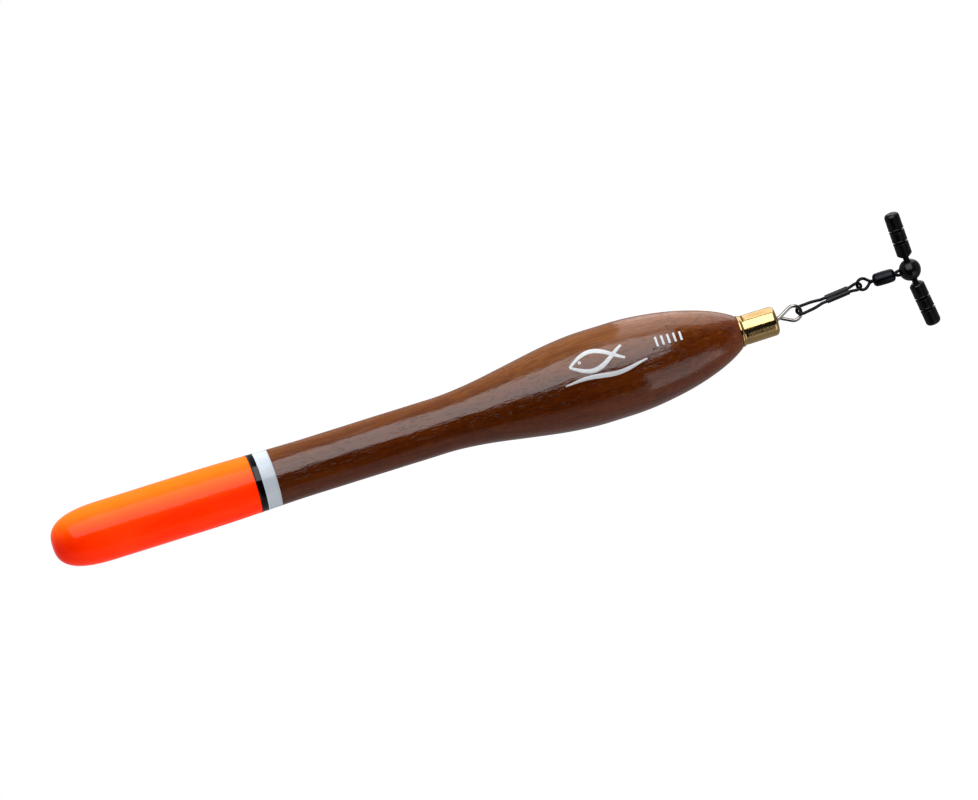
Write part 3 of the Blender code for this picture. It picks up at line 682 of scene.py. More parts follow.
brass_finish = make_metal(
    "turned_brass", (0.88, 0.60, 0.27), (0.78, 0.47, 0.18), 0.1, 14000.0, 0.004 * MM
)
steel_finish = make_metal(
    "bright_stainless", (0.5, 0.48, 0.46), (0.34, 0.31, 0.28), 0.14, 3000.0, 0.003 * MM
)
nickel_finish = make_metal(
    "black_nickel", (0.02, 0.022, 0.027), (0.011, 0.012, 0.014), 0.24, 9000.0, 0.004 * MM, 2600.0
)

# %% [markdown]
# ## Moulded black
# The bead and line tube are hard nylon, the sleeve is soft tube and the stops are rubber. All are nearly
# black. They differ in gloss and in how coarse their skin is, so one recipe serves with three settings.

# %% The plastics and the rubber
MOULDED_IOR = 1.42


def make_moulded(name, colour, bloom, roughness, grain, depth):
    """A dark moulding with a dusty bloom in patches and a fine grain from its mould."""
    finish, tree, shader = new_finish(name, roughness)
    shader.inputs["IOR"].default_value = MOULDED_IOR
    wear = use_group(tree, handling_wear, Scale=1500.0, Amount=1.0)["Mask"]
    fill(tree, shader.inputs["Base Color"], mixed_colour(tree, wear, colour, bloom))
    dull = maths(tree, "MULTIPLY", wear, 0.18)
    fill(tree, shader.inputs["Roughness"], maths(tree, "ADD", dull, roughness))
    skin = noise(tree, local_place(tree, (grain, grain, grain)), 1.0, 3.0, 0.6)
    ripple = use_group(tree, coat_ripple, Across=1300.0, Along=1300.0)["Height"]
    add_bump(tree, shader, (ripple, 6 * depth), (skin, depth))
    return finish


nylon_finish = make_moulded(
    "black_nylon", (0.0022, 0.0022, 0.003), (0.0045, 0.0045, 0.006), 0.15, 9000.0, 0.0008 * MM
)
sleeve_finish = make_moulded(
    "soft_tube", (0.0012, 0.0013, 0.0018), (0.003, 0.003, 0.004), 0.14, 8000.0, 0.001 * MM
)
rubber_finish = make_moulded(
    "black_rubber", (0.0014, 0.0014, 0.0018), (0.004, 0.004, 0.005), 0.24, 7000.0, 0.001 * MM
)
print("finishes", [finish.name for finish in bpy.data.materials])

# %% [markdown]
# ## The float's outline
# One formula gives the radius at any height, so the wood and all three coats share it and lie flush. It
# is a straight tip that narrows to a neck, a shoulder that swells to the belly, and a tail that falls
# away like the quarter of an oval to the brass. The nose is a blunted half oval.

# %% Outline of the float
tip_low, tip_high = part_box("orange_tip")
wood_low, wood_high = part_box("balsa_body")
TIP_TOP = tip_high.z
TIP_RADIUS = tip_high.x
BELLY_RADIUS = wood_high.x
WOOD_END = wood_low.z
BLACK_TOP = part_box("black_band")[1].z
BLACK_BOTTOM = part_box("black_band")[0].z
WHITE_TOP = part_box("white_band")[1].z
WHITE_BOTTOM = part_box("white_band")[0].z
NECK_RADIUS = 4.275 * MM
TAIL_RADIUS = 2.42 * MM
NOSE_LENGTH = 9.0 * MM
NOSE_POWER = 2 / 2.75
WAIST_HEIGHT = 7.9 * MM
NECK_DEPTH = 9.4 * MM
SHOULDER_DEPTH = 29.0 * MM
BELLY_DEPTH = 53.9 * MM
TAIL_DEPTH = 57.7 * MM
TAIL_POWER = 1.8
COAT = 0.3 * MM
FIT_GAP = 0.03 * MM
POLE_RADIUS = 0.02 * MM


def outline_radius(z):
    """Tip to neck and neck to belly by smooth steps, times (1 - f^p)^(1/p) down the tail."""
    radius = TIP_RADIUS + (NECK_RADIUS - TIP_RADIUS) * smooth_step(-WAIST_HEIGHT, NECK_DEPTH, -z)
    radius = radius + (BELLY_RADIUS - NECK_RADIUS) * smooth_step(SHOULDER_DEPTH, BELLY_DEPTH, -z)
    end = (1 - (TAIL_RADIUS / BELLY_RADIUS) ** TAIL_POWER) ** (1 / TAIL_POWER)
    fall = np.clip((-z - TAIL_DEPTH) / (-WOOD_END - TAIL_DEPTH), 0, 1) * end
    return radius * (1 - fall**TAIL_POWER) ** (1 / TAIL_POWER)


def side(bottom, top, steps, inset=0.0):
    """(radius, height) up the float's side, set in by a coat where there is one."""
    z = np.linspace(bottom, top, steps)
    return np.column_stack([outline_radius(z) - inset, z])


def nose(inset, steps):
    """Up over the nose: radius R sin(a)^n, height falling as 1 - cos(a)^n, for a from 90 degrees to 0."""
    angle = math.pi / 2 * np.linspace(1, 0.03, steps) ** 1.3
    radius = (TIP_RADIUS - inset) * np.sin(angle) ** NOSE_POWER
    return np.column_stack([radius, TIP_TOP - inset - NOSE_LENGTH * (1 - np.cos(angle) ** NOSE_POWER)])


TURNING_ERROR = 0.0035


def hand_turned(rings):
    """Pushes each point in or out by a few thousandths of its radius: slow waves round and along."""
    turn = np.arctan2(rings[..., 1], rings[..., 0])
    z = rings[..., 2]
    wave = 0.5 * np.sin(2 * turn + 190 * z) + 0.3 * np.sin(3 * turn - 410 * z) + 0.2 * np.sin(900 * z)
    moved = rings.copy()
    moved[..., :2] *= (1 + TURNING_ERROR * wave)[..., None]
    return moved


def finish_piece(piece, material, body, slot, *nodes):
    """Gives a piece its material and its body, and hides the CAD nodes that it stands for. The slot is not
    used.
    """
    piece.data.materials.append(material)
    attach(piece, body)
    if nodes:
        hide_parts(*nodes)
    return piece


# %% [markdown]
# ## The balsa body
# The stick is thinner under the paint, by the thickness of the coats, and drilled at its tail for the
# spigot of the brass. It is one profile from the bottom of that hole, round the tail and up to the nose.

# %% Turn the body
SPIGOT_RADIUS = 1.2 * MM
SPIGOT_LENGTH = 9.0 * MM
TAIL_EDGE = 0.09 * MM
LEDGE_EDGE = 0.05 * MM


def body_profile():
    """Hole, tail edge, visible side, ledge under the white coat, covered core, nose."""
    hole = SPIGOT_RADIUS + FIT_GAP
    top = WOOD_END + SPIGOT_LENGTH + FIT_GAP
    set_in = COAT + FIT_GAP
    ledge = outline_radius(WHITE_BOTTOM)
    return np.vstack([
        straight((POLE_RADIUS, top), (hole, top), 6),
        straight((hole, top), (hole, WOOD_END), 12),
        straight((hole, WOOD_END), (TAIL_RADIUS - TAIL_EDGE, WOOD_END), 6),
        corner_arc(TAIL_RADIUS - TAIL_EDGE, WOOD_END + TAIL_EDGE, TAIL_EDGE, -80, 0),
        side(WOOD_END + 2 * TAIL_EDGE, WHITE_BOTTOM - FIT_GAP - LEDGE_EDGE, 400),
        corner_arc(ledge - LEDGE_EDGE, WHITE_BOTTOM - FIT_GAP - LEDGE_EDGE, LEDGE_EDGE, 10, 90),
        straight((ledge - set_in, WHITE_BOTTOM - FIT_GAP), (ledge - set_in, WHITE_BOTTOM), 2),
        side(WHITE_BOTTOM + LEDGE_EDGE, TIP_TOP - NOSE_LENGTH - set_in - LEDGE_EDGE, 40, set_in),
        nose(set_in, 30),
    ])


body = ring_piece("balsa_stick", hand_turned(turned_rings(body_profile(), BODY_AROUND)))
finish_piece(body, wood_finish, "root", "stained_wood", "balsa_body")

# %% [markdown]
# ## The coats of paint
# Each coat is a thin shell on the wood. A painted edge is never square: surface tension leaves a small
# raised bead along it, which shows as a bright hairline where two colours meet.

# %% Turn the coats
EDGE_BEAD = 0.035 * MM
BEAD_REACH = 0.11 * MM
COAT_EDGE = 0.04 * MM


def coat_side(bottom, top, steps):
    """The coat's outer side: the outline plus a bell-shaped bead at each edge."""
    z = np.linspace(bottom, top, steps)
    bead = np.exp(-((z - bottom) / BEAD_REACH) ** 2) + np.exp(-((z - top) / BEAD_REACH) ** 2)
    return np.column_stack([outline_radius(z) + EDGE_BEAD * bead, z])


def tip_profile():
    """Down the inside from its top, round the lower edge, up the outside and over the nose."""
    inside = np.vstack([side(tip_low.z, TIP_TOP - NOSE_LENGTH - COAT, 30, COAT), nose(COAT, 30)[1:]])
    z = np.linspace(tip_low.z + COAT_EDGE, TIP_TOP - NOSE_LENGTH, 150)
    bead = EDGE_BEAD * np.exp(-((z - z[0]) / BEAD_REACH) ** 2)
    outside = np.column_stack([outline_radius(z) + bead, z])
    edge = corner_arc(outside[0, 0] - COAT_EDGE, outside[0, 1], COAT_EDGE, -90, -10)
    return np.vstack([inside[::-1], edge, outside, nose(0, 90)[1:]])


def band_profile(bottom, top):
    """Up the beaded outside, over the upper edge, down the inside, and round the lower edge."""
    outside = coat_side(bottom + COAT_EDGE, top - COAT_EDGE, 60)
    low = corner_arc(outside[0, 0] - COAT_EDGE, outside[0, 1], COAT_EDGE, -90, -10)
    high = corner_arc(outside[-1, 0] - COAT_EDGE, outside[-1, 1], COAT_EDGE, 10, 90)
    return np.vstack([low, outside, high, side(bottom, top, 8, COAT)[::-1]])


tip = ring_piece("orange_coat", hand_turned(turned_rings(tip_profile(), BODY_AROUND)))
finish_piece(tip, orange_finish, "root", "orange_paint", "orange_tip")
for name, low, high, paint, slot, cad in (
    ("black_coat", BLACK_BOTTOM, BLACK_TOP, black_finish, "black_paint", "black_band"),
    ("white_coat", WHITE_BOTTOM, WHITE_TOP, white_finish, "white_paint", "white_band"),
):
    rings = hand_turned(turned_rings(band_profile(low, high), BODY_AROUND))
    finish_piece(ring_piece(name, rings, ring_shaped=True), paint, "root", slot, cad)

# %% [markdown]
# ## The brass load
# Brass rod, turned: a spigot that is glued into the wood, a rim that seats against the tail, a cove down
# to the barrel, and a well rounded end with a bore for the eye. The cove and the round end curve the
# reflections, which is what makes the piece look turned.

# %% Turn the brass
brass_low, brass_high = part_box("brass_base")
BRASS_END = brass_low.z
BRASS_RADIUS = 2.28 * MM
BRASS_END_RADIUS = 2.24 * MM
RIM_RADIUS = 2.42 * MM
RIM_LENGTH = 0.2 * MM
COVE_LENGTH = 0.72 * MM
COVE_DIP = 0.07 * MM
COVE_POWER = 2.2
BRASS_ROUNDING = 0.65 * MM
EYE_BORE = 0.62 * MM
EYE_BORE_DEPTH = 4.53 * MM
BORE_EDGE = 0.08 * MM
RIM_EDGE = 0.05 * MM


def brass_profile():
    """Bore, rounded end, slightly tapered barrel, cove, rim, seat and spigot."""
    seat = WOOD_END - FIT_GAP
    rim_low = seat - RIM_LENGTH
    cove = np.linspace(0, 1, 24)
    flare = (RIM_RADIUS - BRASS_RADIUS) * cove**COVE_POWER - COVE_DIP * np.sin(math.pi * cove) ** 2
    cove_points = np.column_stack([BRASS_RADIUS + flare, rim_low - COVE_LENGTH * (1 - cove)])
    spigot_top = WOOD_END + SPIGOT_LENGTH
    return np.vstack([
        straight((POLE_RADIUS, BRASS_END + EYE_BORE_DEPTH), (EYE_BORE, BRASS_END + EYE_BORE_DEPTH), 4),
        straight((EYE_BORE, BRASS_END + EYE_BORE_DEPTH), (EYE_BORE, BRASS_END + BORE_EDGE), 8),
        corner_arc(EYE_BORE + BORE_EDGE, BRASS_END + BORE_EDGE, BORE_EDGE, 180, 270),
        corner_arc(
            BRASS_END_RADIUS - BRASS_ROUNDING, BRASS_END + BRASS_ROUNDING, BRASS_ROUNDING, -90, 0, 24
        ),
        straight((BRASS_END_RADIUS, BRASS_END + BRASS_ROUNDING), cove_points[0], 30)[1:-1],
        cove_points,
        corner_arc(RIM_RADIUS - RIM_EDGE, seat - RIM_EDGE, RIM_EDGE, 0, 90),
        straight((SPIGOT_RADIUS, seat), (SPIGOT_RADIUS, spigot_top), 12),
        straight((SPIGOT_RADIUS, spigot_top), (POLE_RADIUS, spigot_top), 4),
    ])


brass = ring_piece("brass_load", turned_rings(brass_profile(), BODY_AROUND))
finish_piece(brass, brass_finish, "root", "brass", "brass_base")

# %% [markdown]
# ## Where the rig's pieces are
# The joints of the frame say where each loop hangs and which way it points. Three sets of axes are
# enough: the link's, the swivel's and the adaptor's. Each piece is worked out flat in its own axes and
# then placed by them, so it turns about the very line that its joint uses.

# %% Axes from the joints
joints = {joint["name"]: joint for joint in frame["joints"]}


def joint_axis(name):
    """The joint's direction as a unit vector."""
    axis = np.array(joints[name]["axis"], float)
    return axis / np.linalg.norm(axis)


def joint_point(name):
    """A point that the joint's axis runs through, in metres."""
    return np.array(joints[name]["pos_m"], float)


link_x, link_z = joint_axis("link_swing"), joint_axis("sleeve_slide")
link_y = np.cross(link_z, link_x)
link_axes = (joint_point("link_swing"), link_x, link_y, link_z)
world_z = np.array([0.0, 0.0, 1.0])
swivel_y, swivel_z = joint_axis("swivel_swing"), joint_axis("barrel_spin")
swivel_axes = (joint_point("swivel_swing"), np.cross(swivel_y, swivel_z), swivel_y, swivel_z)
adaptor_z = joint_axis("adaptor_spin")
adaptor_y = np.cross(adaptor_z, joint_axis("upper_stop_slide"))
adaptor_y /= np.linalg.norm(adaptor_y)
adaptor_axes = (joint_point("adaptor_spin"), np.cross(adaptor_y, adaptor_z), adaptor_y, adaptor_z)
print("bead centre", np.round(adaptor_axes[0] * 1000, 3), "mm")

# %% [markdown]
# ## The stainless eye
# One wire is bent into a round eye. Its two ends lie side by side in the bore of the brass, so the wire
# leaves the bore on one side of the other and the loop closes in front of it.

# %% Bend the eye
EYE_WIRE = 0.28 * MM
EYE_RADIUS = 1.12 * MM
EYE_THROAT = 2.45 * MM
EYE_NECK = 0.35 * MM
EYE_LEG = 4.2 * MM
EYE_KICK = 0.22 * MM
EYE_SPACING = 0.59 * MM


def eye_centre_line(radius, throat, spacing, kick=0.0, steps=90):
    """A circle below its throat, joined to the throat by two tangents that pass one behind the other."""
    leave = math.acos(radius / throat)
    turn = np.linspace(math.pi / 2 + leave, 2.5 * math.pi - leave, steps)
    loop = np.column_stack([
        kick + radius * np.cos(turn), 0 * turn, radius * np.sin(turn) - throat
    ])
    start = np.array([[kick, spacing / 2, 0.0]])
    return np.vstack([start, loop, start * [1, -1, 1]])


def eye_rings():
    """Leg, loop and leg again, in the eye's own axes under the brass."""
    loop = eye_centre_line(EYE_RADIUS, EYE_THROAT, EYE_SPACING, EYE_KICK)
    leg = np.array([[0, EYE_SPACING / 2, EYE_NECK + EYE_LEG], [0, EYE_SPACING / 2, EYE_NECK]])
    path = even_path(np.vstack([leg, loop, leg[::-1] * [1, -1, 1]]), 0.06 * MM, 8)
    rings = swept_rings(path, EYE_WIRE, np.array([0, 1.0, 0]))
    axes = (np.array([0, 0, BRASS_END - EYE_NECK]), np.cross(link_y, world_z), link_y, world_z)
    return placed(rings, axes)


finish_piece(ring_piece("float_eye", eye_rings()), steel_finish, "root", "stainless_wire", "eye_wire")

# %% [markdown]
# ## The link
# The quick-change link is a hairpin of springy black wire. Its legs swell apart below the upper bow,
# come together where the sleeve holds them and spread a little round the lower bow. Its two ends meet
# under the sleeve. The half width at each depth is a chain of smooth steps.

# %% Bend the link
RIG_WIRE = 0.24 * MM
HANG_GAP = 0.06 * MM
TOP_SIDE_GAP = 0.22 * MM
LOW_SIDE_GAP = 0.1 * MM
LINK_RISE = EYE_WIRE + RIG_WIRE + HANG_GAP
LINK_DROP = 10.9 * MM - 2 * RIG_WIRE - LINK_RISE
LINK_BELLY = 0.76 * MM
LINK_BELLY_DEPTH = 1.5 * MM
LINK_PINCH_TOP = 3.4 * MM
LINK_PINCH_END = 7.95 * MM
LINK_PINCH = 0.4 * MM
LINK_CROSSING = math.radians(58)
LINK_ENDS_DEPTH = 7.55 * MM
LINK_END_GAP = 0.2 * MM
TOP_BOW = (EYE_WIRE + RIG_WIRE) / math.sin(LINK_CROSSING) + TOP_SIDE_GAP
LOW_BOW = 2 * RIG_WIRE / math.sin(LINK_CROSSING) + LOW_SIDE_GAP


def link_half_width(depth):
    """Upper bow to belly and pinch to lower bow by smooth steps. From belly to pinch the width falls
    as s^1.5, because the legs bow out until the sleeve holds them."""
    width = TOP_BOW + (LINK_BELLY - TOP_BOW) * smooth_step(0, LINK_BELLY_DEPTH, depth)
    share = np.clip((depth - LINK_BELLY_DEPTH) / (LINK_PINCH_TOP - LINK_BELLY_DEPTH), 0, 1)
    width = width + (LINK_PINCH - LINK_BELLY) * share**1.5
    return width + (LOW_BOW - LINK_PINCH) * smooth_step(LINK_PINCH_END, LINK_DROP - LOW_BOW, depth)


def link_rings():
    """Up one leg, round the upper bow, down the other leg, round the lower bow and back to the start."""
    top, low = TOP_BOW - LINK_RISE, LINK_DROP - LOW_BOW
    half_turn = np.linspace(0, math.pi, 40)
    up = np.linspace(LINK_ENDS_DEPTH - LINK_END_GAP - RIG_WIRE, top, 90)[:-1]
    down = np.linspace(top, low, 140)[1:-1]
    home = np.linspace(low, LINK_ENDS_DEPTH + RIG_WIRE, 30)[1:]
    across = np.concatenate([
        -link_half_width(up), -TOP_BOW * np.cos(half_turn), link_half_width(down),
        LOW_BOW * np.cos(half_turn), -link_half_width(home),
    ])
    height = np.concatenate([
        -up, TOP_BOW * np.sin(half_turn) - top, -down, -low - LOW_BOW * np.sin(half_turn), -home
    ])
    path = np.column_stack([
        across * math.cos(LINK_CROSSING), across * math.sin(LINK_CROSSING), height
    ])
    normal = np.array([-math.sin(LINK_CROSSING), math.cos(LINK_CROSSING), 0])
    return placed(swept_rings(even_path(path, 0.07 * MM, 2), RIG_WIRE, normal), link_axes)


finish_piece(ring_piece("link_hairpin", link_rings()), nickel_finish, "link", "black_nickel", "link_wire")

# %% [markdown]
# ## The sleeve
# A short length of soft tube, stretched over the link's two legs. Its section is two half circles joined
# by sides that sink between the wires. The same section, larger and smaller, makes the wall, and the
# wall's edges are rounded.

# %% Stretch the sleeve
SLEEVE_TOP = -4.2 * MM
SLEEVE_END = -7.85 * MM
SLEEVE_INNER = 0.27 * MM
SLEEVE_OUTER = 0.39 * MM
SLEEVE_SAG = 0.1 * MM
SLEEVE_EDGE = 0.045 * MM


def sleeve_rings():
    """Two half circles about the wires, and sides that dip as 1 - s^2 between them, at each wall point."""
    angle = np.radians(np.concatenate([np.linspace(-90, 90, 25), np.linspace(90, 270, 25)]))
    share = np.linspace(1, -1, 11)[1:-1]
    middle = 1 - share**2
    across = np.concatenate([np.full(25, 1.0), share, np.full(25, -1.0), -share])
    out_x = np.concatenate([np.cos(angle[:25]), 0 * share, np.cos(angle[25:]), 0 * share])
    out_y = np.concatenate([np.sin(angle[:25]), 0 * share + 1, np.sin(angle[25:]), 0 * share - 1])
    sink = np.concatenate([np.zeros(25), -middle, np.zeros(25), middle]) * SLEEVE_SAG
    rim = SLEEVE_OUTER - SLEEVE_EDGE
    low, high = SLEEVE_END + 2 * SLEEVE_EDGE, SLEEVE_TOP - 2 * SLEEVE_EDGE
    wall = np.vstack([
        corner_arc(rim, SLEEVE_END + SLEEVE_EDGE, SLEEVE_EDGE, -90, 0),
        straight((SLEEVE_OUTER, low), (SLEEVE_OUTER, high), 30),
        corner_arc(rim, SLEEVE_TOP - SLEEVE_EDGE, SLEEVE_EDGE, 0, 90),
        straight((SLEEVE_INNER, SLEEVE_TOP), (SLEEVE_INNER, SLEEVE_END), 8),
    ])
    size, height = wall[:, :1], wall[:, 1:]
    local = np.stack([
        across * LINK_PINCH + size * out_x, size * out_y + sink, height + 0 * out_x
    ], axis=-1)
    turned = local.copy()
    turned[..., 0] = local[..., 0] * math.cos(LINK_CROSSING) - local[..., 1] * math.sin(LINK_CROSSING)
    turned[..., 1] = local[..., 0] * math.sin(LINK_CROSSING) + local[..., 1] * math.cos(LINK_CROSSING)
    return placed(turned, link_axes)


sleeve = ring_piece("soft_sleeve", sleeve_rings(), ring_shaped=True)
finish_piece(sleeve, sleeve_finish, "sleeve", "black_sleeve", "link_sleeve")

# %% [markdown]
# ## The barrel swivel
# Each half of the swivel is a wire eye whose ends are pressed into a pin, and the pin's head turns
# inside the hollow barrel. The barrel's ends are spun over, so they are well rounded, and its middle
# swells a little.

# %% Make the swivel
RING_RADIUS = 0.86 * MM
RING_THROAT = 1.35 * MM
RING_SPACING = 0.54 * MM
PIN_RADIUS = 0.28 * MM
PIN_HEAD_LENGTH = 0.5 * MM
HEAD_RADIUS = 0.55 * MM
BARREL_TOP = -1.65 * MM
BARREL_LENGTH = 3.47 * MM
BARREL_RADIUS = 1.05 * MM
BARREL_WALL = 0.3 * MM
BARREL_ROUNDING = 0.6 * MM
BARREL_SWELL = 0.04 * MM
BARREL_HOLE = 0.32 * MM
RUN_GAP = 0.04 * MM
PIN_EDGE = 0.04 * MM


def near_ring_rings():
    """The near eye's loop stands above its throat, so the eye's centre line is turned over."""
    loop = eye_centre_line(RING_RADIUS, RING_THROAT, RING_SPACING)
    path = even_path(loop * [1, 1, -1] - [0, 0, RING_THROAT], 0.05 * MM, 5)
    return placed(swept_rings(path, RIG_WIRE, np.array([0, 1.0, 0])), swivel_axes)


def pin_profile(outside, face, into):
    """A pin from outside the barrel to its head's far side, which is into = -1 below or +1 above."""
    tail = face + into * PIN_HEAD_LENGTH
    return np.vstack([
        straight((POLE_RADIUS, outside), (PIN_RADIUS - PIN_EDGE, outside), 4),
        straight((PIN_RADIUS, outside + into * PIN_EDGE), (PIN_RADIUS, face), 8),
        straight((HEAD_RADIUS - PIN_EDGE, face), (HEAD_RADIUS, face + into * PIN_EDGE), 3),
        straight((HEAD_RADIUS, tail - into * PIN_EDGE), (HEAD_RADIUS - PIN_EDGE, tail), 3),
        straight((HEAD_RADIUS - 2 * PIN_EDGE, tail), (POLE_RADIUS, tail), 4),
    ])


def barrel_profile():
    """Up the swelling side between two rounded ends, then down inside the hollow."""
    bottom = BARREL_TOP - BARREL_LENGTH
    inner = BARREL_RADIUS - BARREL_WALL
    centre = BARREL_RADIUS - BARREL_SWELL - BARREL_ROUNDING
    z = np.linspace(bottom + BARREL_ROUNDING, BARREL_TOP - BARREL_ROUNDING, 40)
    share = (2 * z - bottom - BARREL_TOP) / (BARREL_LENGTH - 2 * BARREL_ROUNDING)
    belly = np.column_stack([BARREL_RADIUS - BARREL_SWELL * share**2, z])
    return np.vstack([
        corner_arc(centre, bottom + BARREL_ROUNDING, BARREL_ROUNDING, -90, 0, 20)[:-1],
        belly,
        corner_arc(centre, BARREL_TOP - BARREL_ROUNDING, BARREL_ROUNDING, 0, 90, 20)[1:],
        straight((BARREL_HOLE, BARREL_TOP), (BARREL_HOLE, BARREL_TOP - BARREL_WALL), 4),
        straight((inner, BARREL_TOP - BARREL_WALL), (inner, bottom + BARREL_WALL), 8),
        straight((BARREL_HOLE, bottom + BARREL_WALL), (BARREL_HOLE, bottom), 4),
    ])


near_ring = ring_piece("near_eye_ring", near_ring_rings())
finish_piece(near_ring, nickel_finish, "near_eye", "black_nickel", "swivel_near_eye")
near_pin_profile = pin_profile(-RING_THROAT + RIG_WIRE, BARREL_TOP - BARREL_WALL - RUN_GAP, -1)
near_pin = ring_piece("near_eye_pin", turned_rings(near_pin_profile, SMALL_AROUND, swivel_axes))
finish_piece(near_pin, nickel_finish, "near_eye", "black_nickel")
barrel_rings = turned_rings(barrel_profile(), SMALL_AROUND, swivel_axes)
barrel = ring_piece("swivel_case", barrel_rings, ring_shaped=True)
finish_piece(barrel, nickel_finish, "barrel", "black_nickel", "swivel_barrel")

# %% [markdown]
# ## The far eye, the bead and the line tube
# The swivel's other eye is a narrow U of wire, and a nylon bead is moulded round its bow. The line tube
# runs through the bead and bends a little inside it. Where the tube comes out, the bead has a small flat
# land, and a fine parting line runs round it where the two halves of its mould met.

# %% Make the adaptor
BEAD_RADIUS = 1.68 * MM
FAR_EYE_SHOWING = 0.7 * MM
FAR_LEG = 0.35 * MM
FAR_LEG_START = 0.27 * MM
TUBE_RADIUS = 0.465 * MM
TUBE_BORE = 0.225 * MM
TUBE_REACH = 5.2 * MM
LAND_DEPTH = 0.1 * MM
PARTING_HEIGHT = 0.025 * MM
PARTING_WIDTH = 0.035
TUBE_BEND = 2 * BEAD_RADIUS / 3
POCKET_WALL = 0.12 * MM


def local_direction(name):
    """A stop's slide direction in the adaptor's own axes."""
    axis = joint_axis(name)
    return np.array([axis @ adaptor_axes[k] for k in (1, 2, 3)])


def far_eye_rings():
    """Two legs that spread from the barrel by a smooth step, joined by a half circle in the bead."""
    top = BEAD_RADIUS + FAR_EYE_SHOWING - RUN_GAP - RIG_WIRE
    share = np.linspace(0, 1, 20)
    spread = FAR_LEG_START + (FAR_LEG - FAR_LEG_START) * smooth_step(0, 1, share)
    leg = np.column_stack([spread, 0 * share, top + (BEAD_RADIUS - top) * share])
    bow_z = TUBE_RADIUS + POCKET_WALL + RIG_WIRE + FAR_LEG
    half_turn = np.linspace(math.pi, 2 * math.pi, 30)
    bow = np.column_stack([
        FAR_LEG * np.cos(half_turn), 0 * half_turn, bow_z + FAR_LEG * np.sin(half_turn)
    ])
    path = even_path(np.vstack([leg * [-1, 1, 1], bow, leg[::-1]]), 0.05 * MM, 3)
    return placed(swept_rings(path, RIG_WIRE, np.array([0, 1.0, 0])), adaptor_axes)


def bead_rings(arms):
    """A ball of radius R, cut to R' / cos(angle) near each arm, with a ridge where y is near 0."""
    tilt = np.linspace(0.02, math.pi - 0.02, 110)[:, None]
    turn = (np.arange(120) * 2 * math.pi / 120)[None, :]
    towards = np.stack([
        np.sin(tilt) * np.cos(turn), np.sin(tilt) * np.sin(turn), -np.cos(tilt) + 0 * turn
    ], axis=-1)
    size = BEAD_RADIUS + PARTING_HEIGHT * np.exp(-(towards[..., 1] / PARTING_WIDTH) ** 2)
    for arm in arms:
        facing = np.clip(towards @ arm, 0.2, 1)
        size = np.minimum(size, (BEAD_RADIUS - LAND_DEPTH) / facing)
    return placed(towards * size[..., None], adaptor_axes)


def tube_rings(upper, lower):
    """Two straight arms joined by a curve of the second degree, walled from outer to bore radius."""
    share = np.linspace(0, 1, 24)[:, None]
    bend = TUBE_BEND * (upper * (1 - share) ** 2 + lower * share**2)
    path = even_path(np.vstack([[upper * TUBE_REACH], bend, [lower * TUBE_REACH]]), 0.12 * MM, 2)
    normal = np.array([0, 1.0, 0])
    inner_rows = slice(END_STEPS, -END_STEPS)
    outer = swept_rings(path, TUBE_RADIUS, normal)[inner_rows]
    bore = swept_rings(path, TUBE_BORE, normal)[inner_rows]
    return placed(np.concatenate([outer, bore[::-1]]), adaptor_axes)


upper_arm, lower_arm = local_direction("upper_stop_slide"), local_direction("lower_stop_slide")
far_eye = ring_piece("far_eye_legs", far_eye_rings())
finish_piece(far_eye, nickel_finish, "adaptor", "black_nickel", "swivel_far_eye")
barrel_floor = BEAD_RADIUS + FAR_EYE_SHOWING
far_pin_start = barrel_floor - RUN_GAP - 1.5 * RIG_WIRE
far_pin_profile = pin_profile(far_pin_start, barrel_floor + BARREL_WALL + RUN_GAP, 1)
far_pin = ring_piece("far_eye_pin", turned_rings(far_pin_profile, SMALL_AROUND, adaptor_axes))
finish_piece(far_pin, nickel_finish, "adaptor", "black_nickel")
bead = ring_piece("moulded_bead", bead_rings((upper_arm, lower_arm)))
finish_piece(bead, nylon_finish, "adaptor", "black_plastic", "adaptor_bead")
tube = ring_piece("line_sleeve_tube", tube_rings(upper_arm, lower_arm), ring_shaped=True)
finish_piece(tube, nylon_finish, "adaptor", "black_plastic", "line_tube")

# %% [markdown]
# ## The rubber stops
# Each stop is moulded in rubber: three ribs with narrow grooves between them, a tapered mouth that grips
# the tube and a domed end with a fine hole for the line. Rubber creeps up a little beside each groove,
# and that lip catches the light as a hairline.

# %% Turn the stops
STOP_START = 2.2 * MM
STOP_RADIUS = 1.18 * MM
STOP_MOUTH = 0.75 * MM
STOP_TAPER = 0.45 * MM
RIBS = (2.3 * MM, 1.6 * MM, 2.55 * MM)
GROOVE_WIDTH = 0.3 * MM
GROOVE_DEPTH = 0.36 * MM
GROOVE_WALL = 0.11 * MM
GROOVE_SPREAD = 0.05 * MM
LIP_HEIGHT = 0.05 * MM
LIP_REACH = 0.08 * MM
DOME_ROUNDING = 0.6 * MM
LINE_HOLE = 0.18 * MM
SOCKET_RADIUS = TUBE_RADIUS + FIT_GAP
SOCKET_END = TUBE_REACH + FIT_GAP
MOUTH_POWER = 0.6


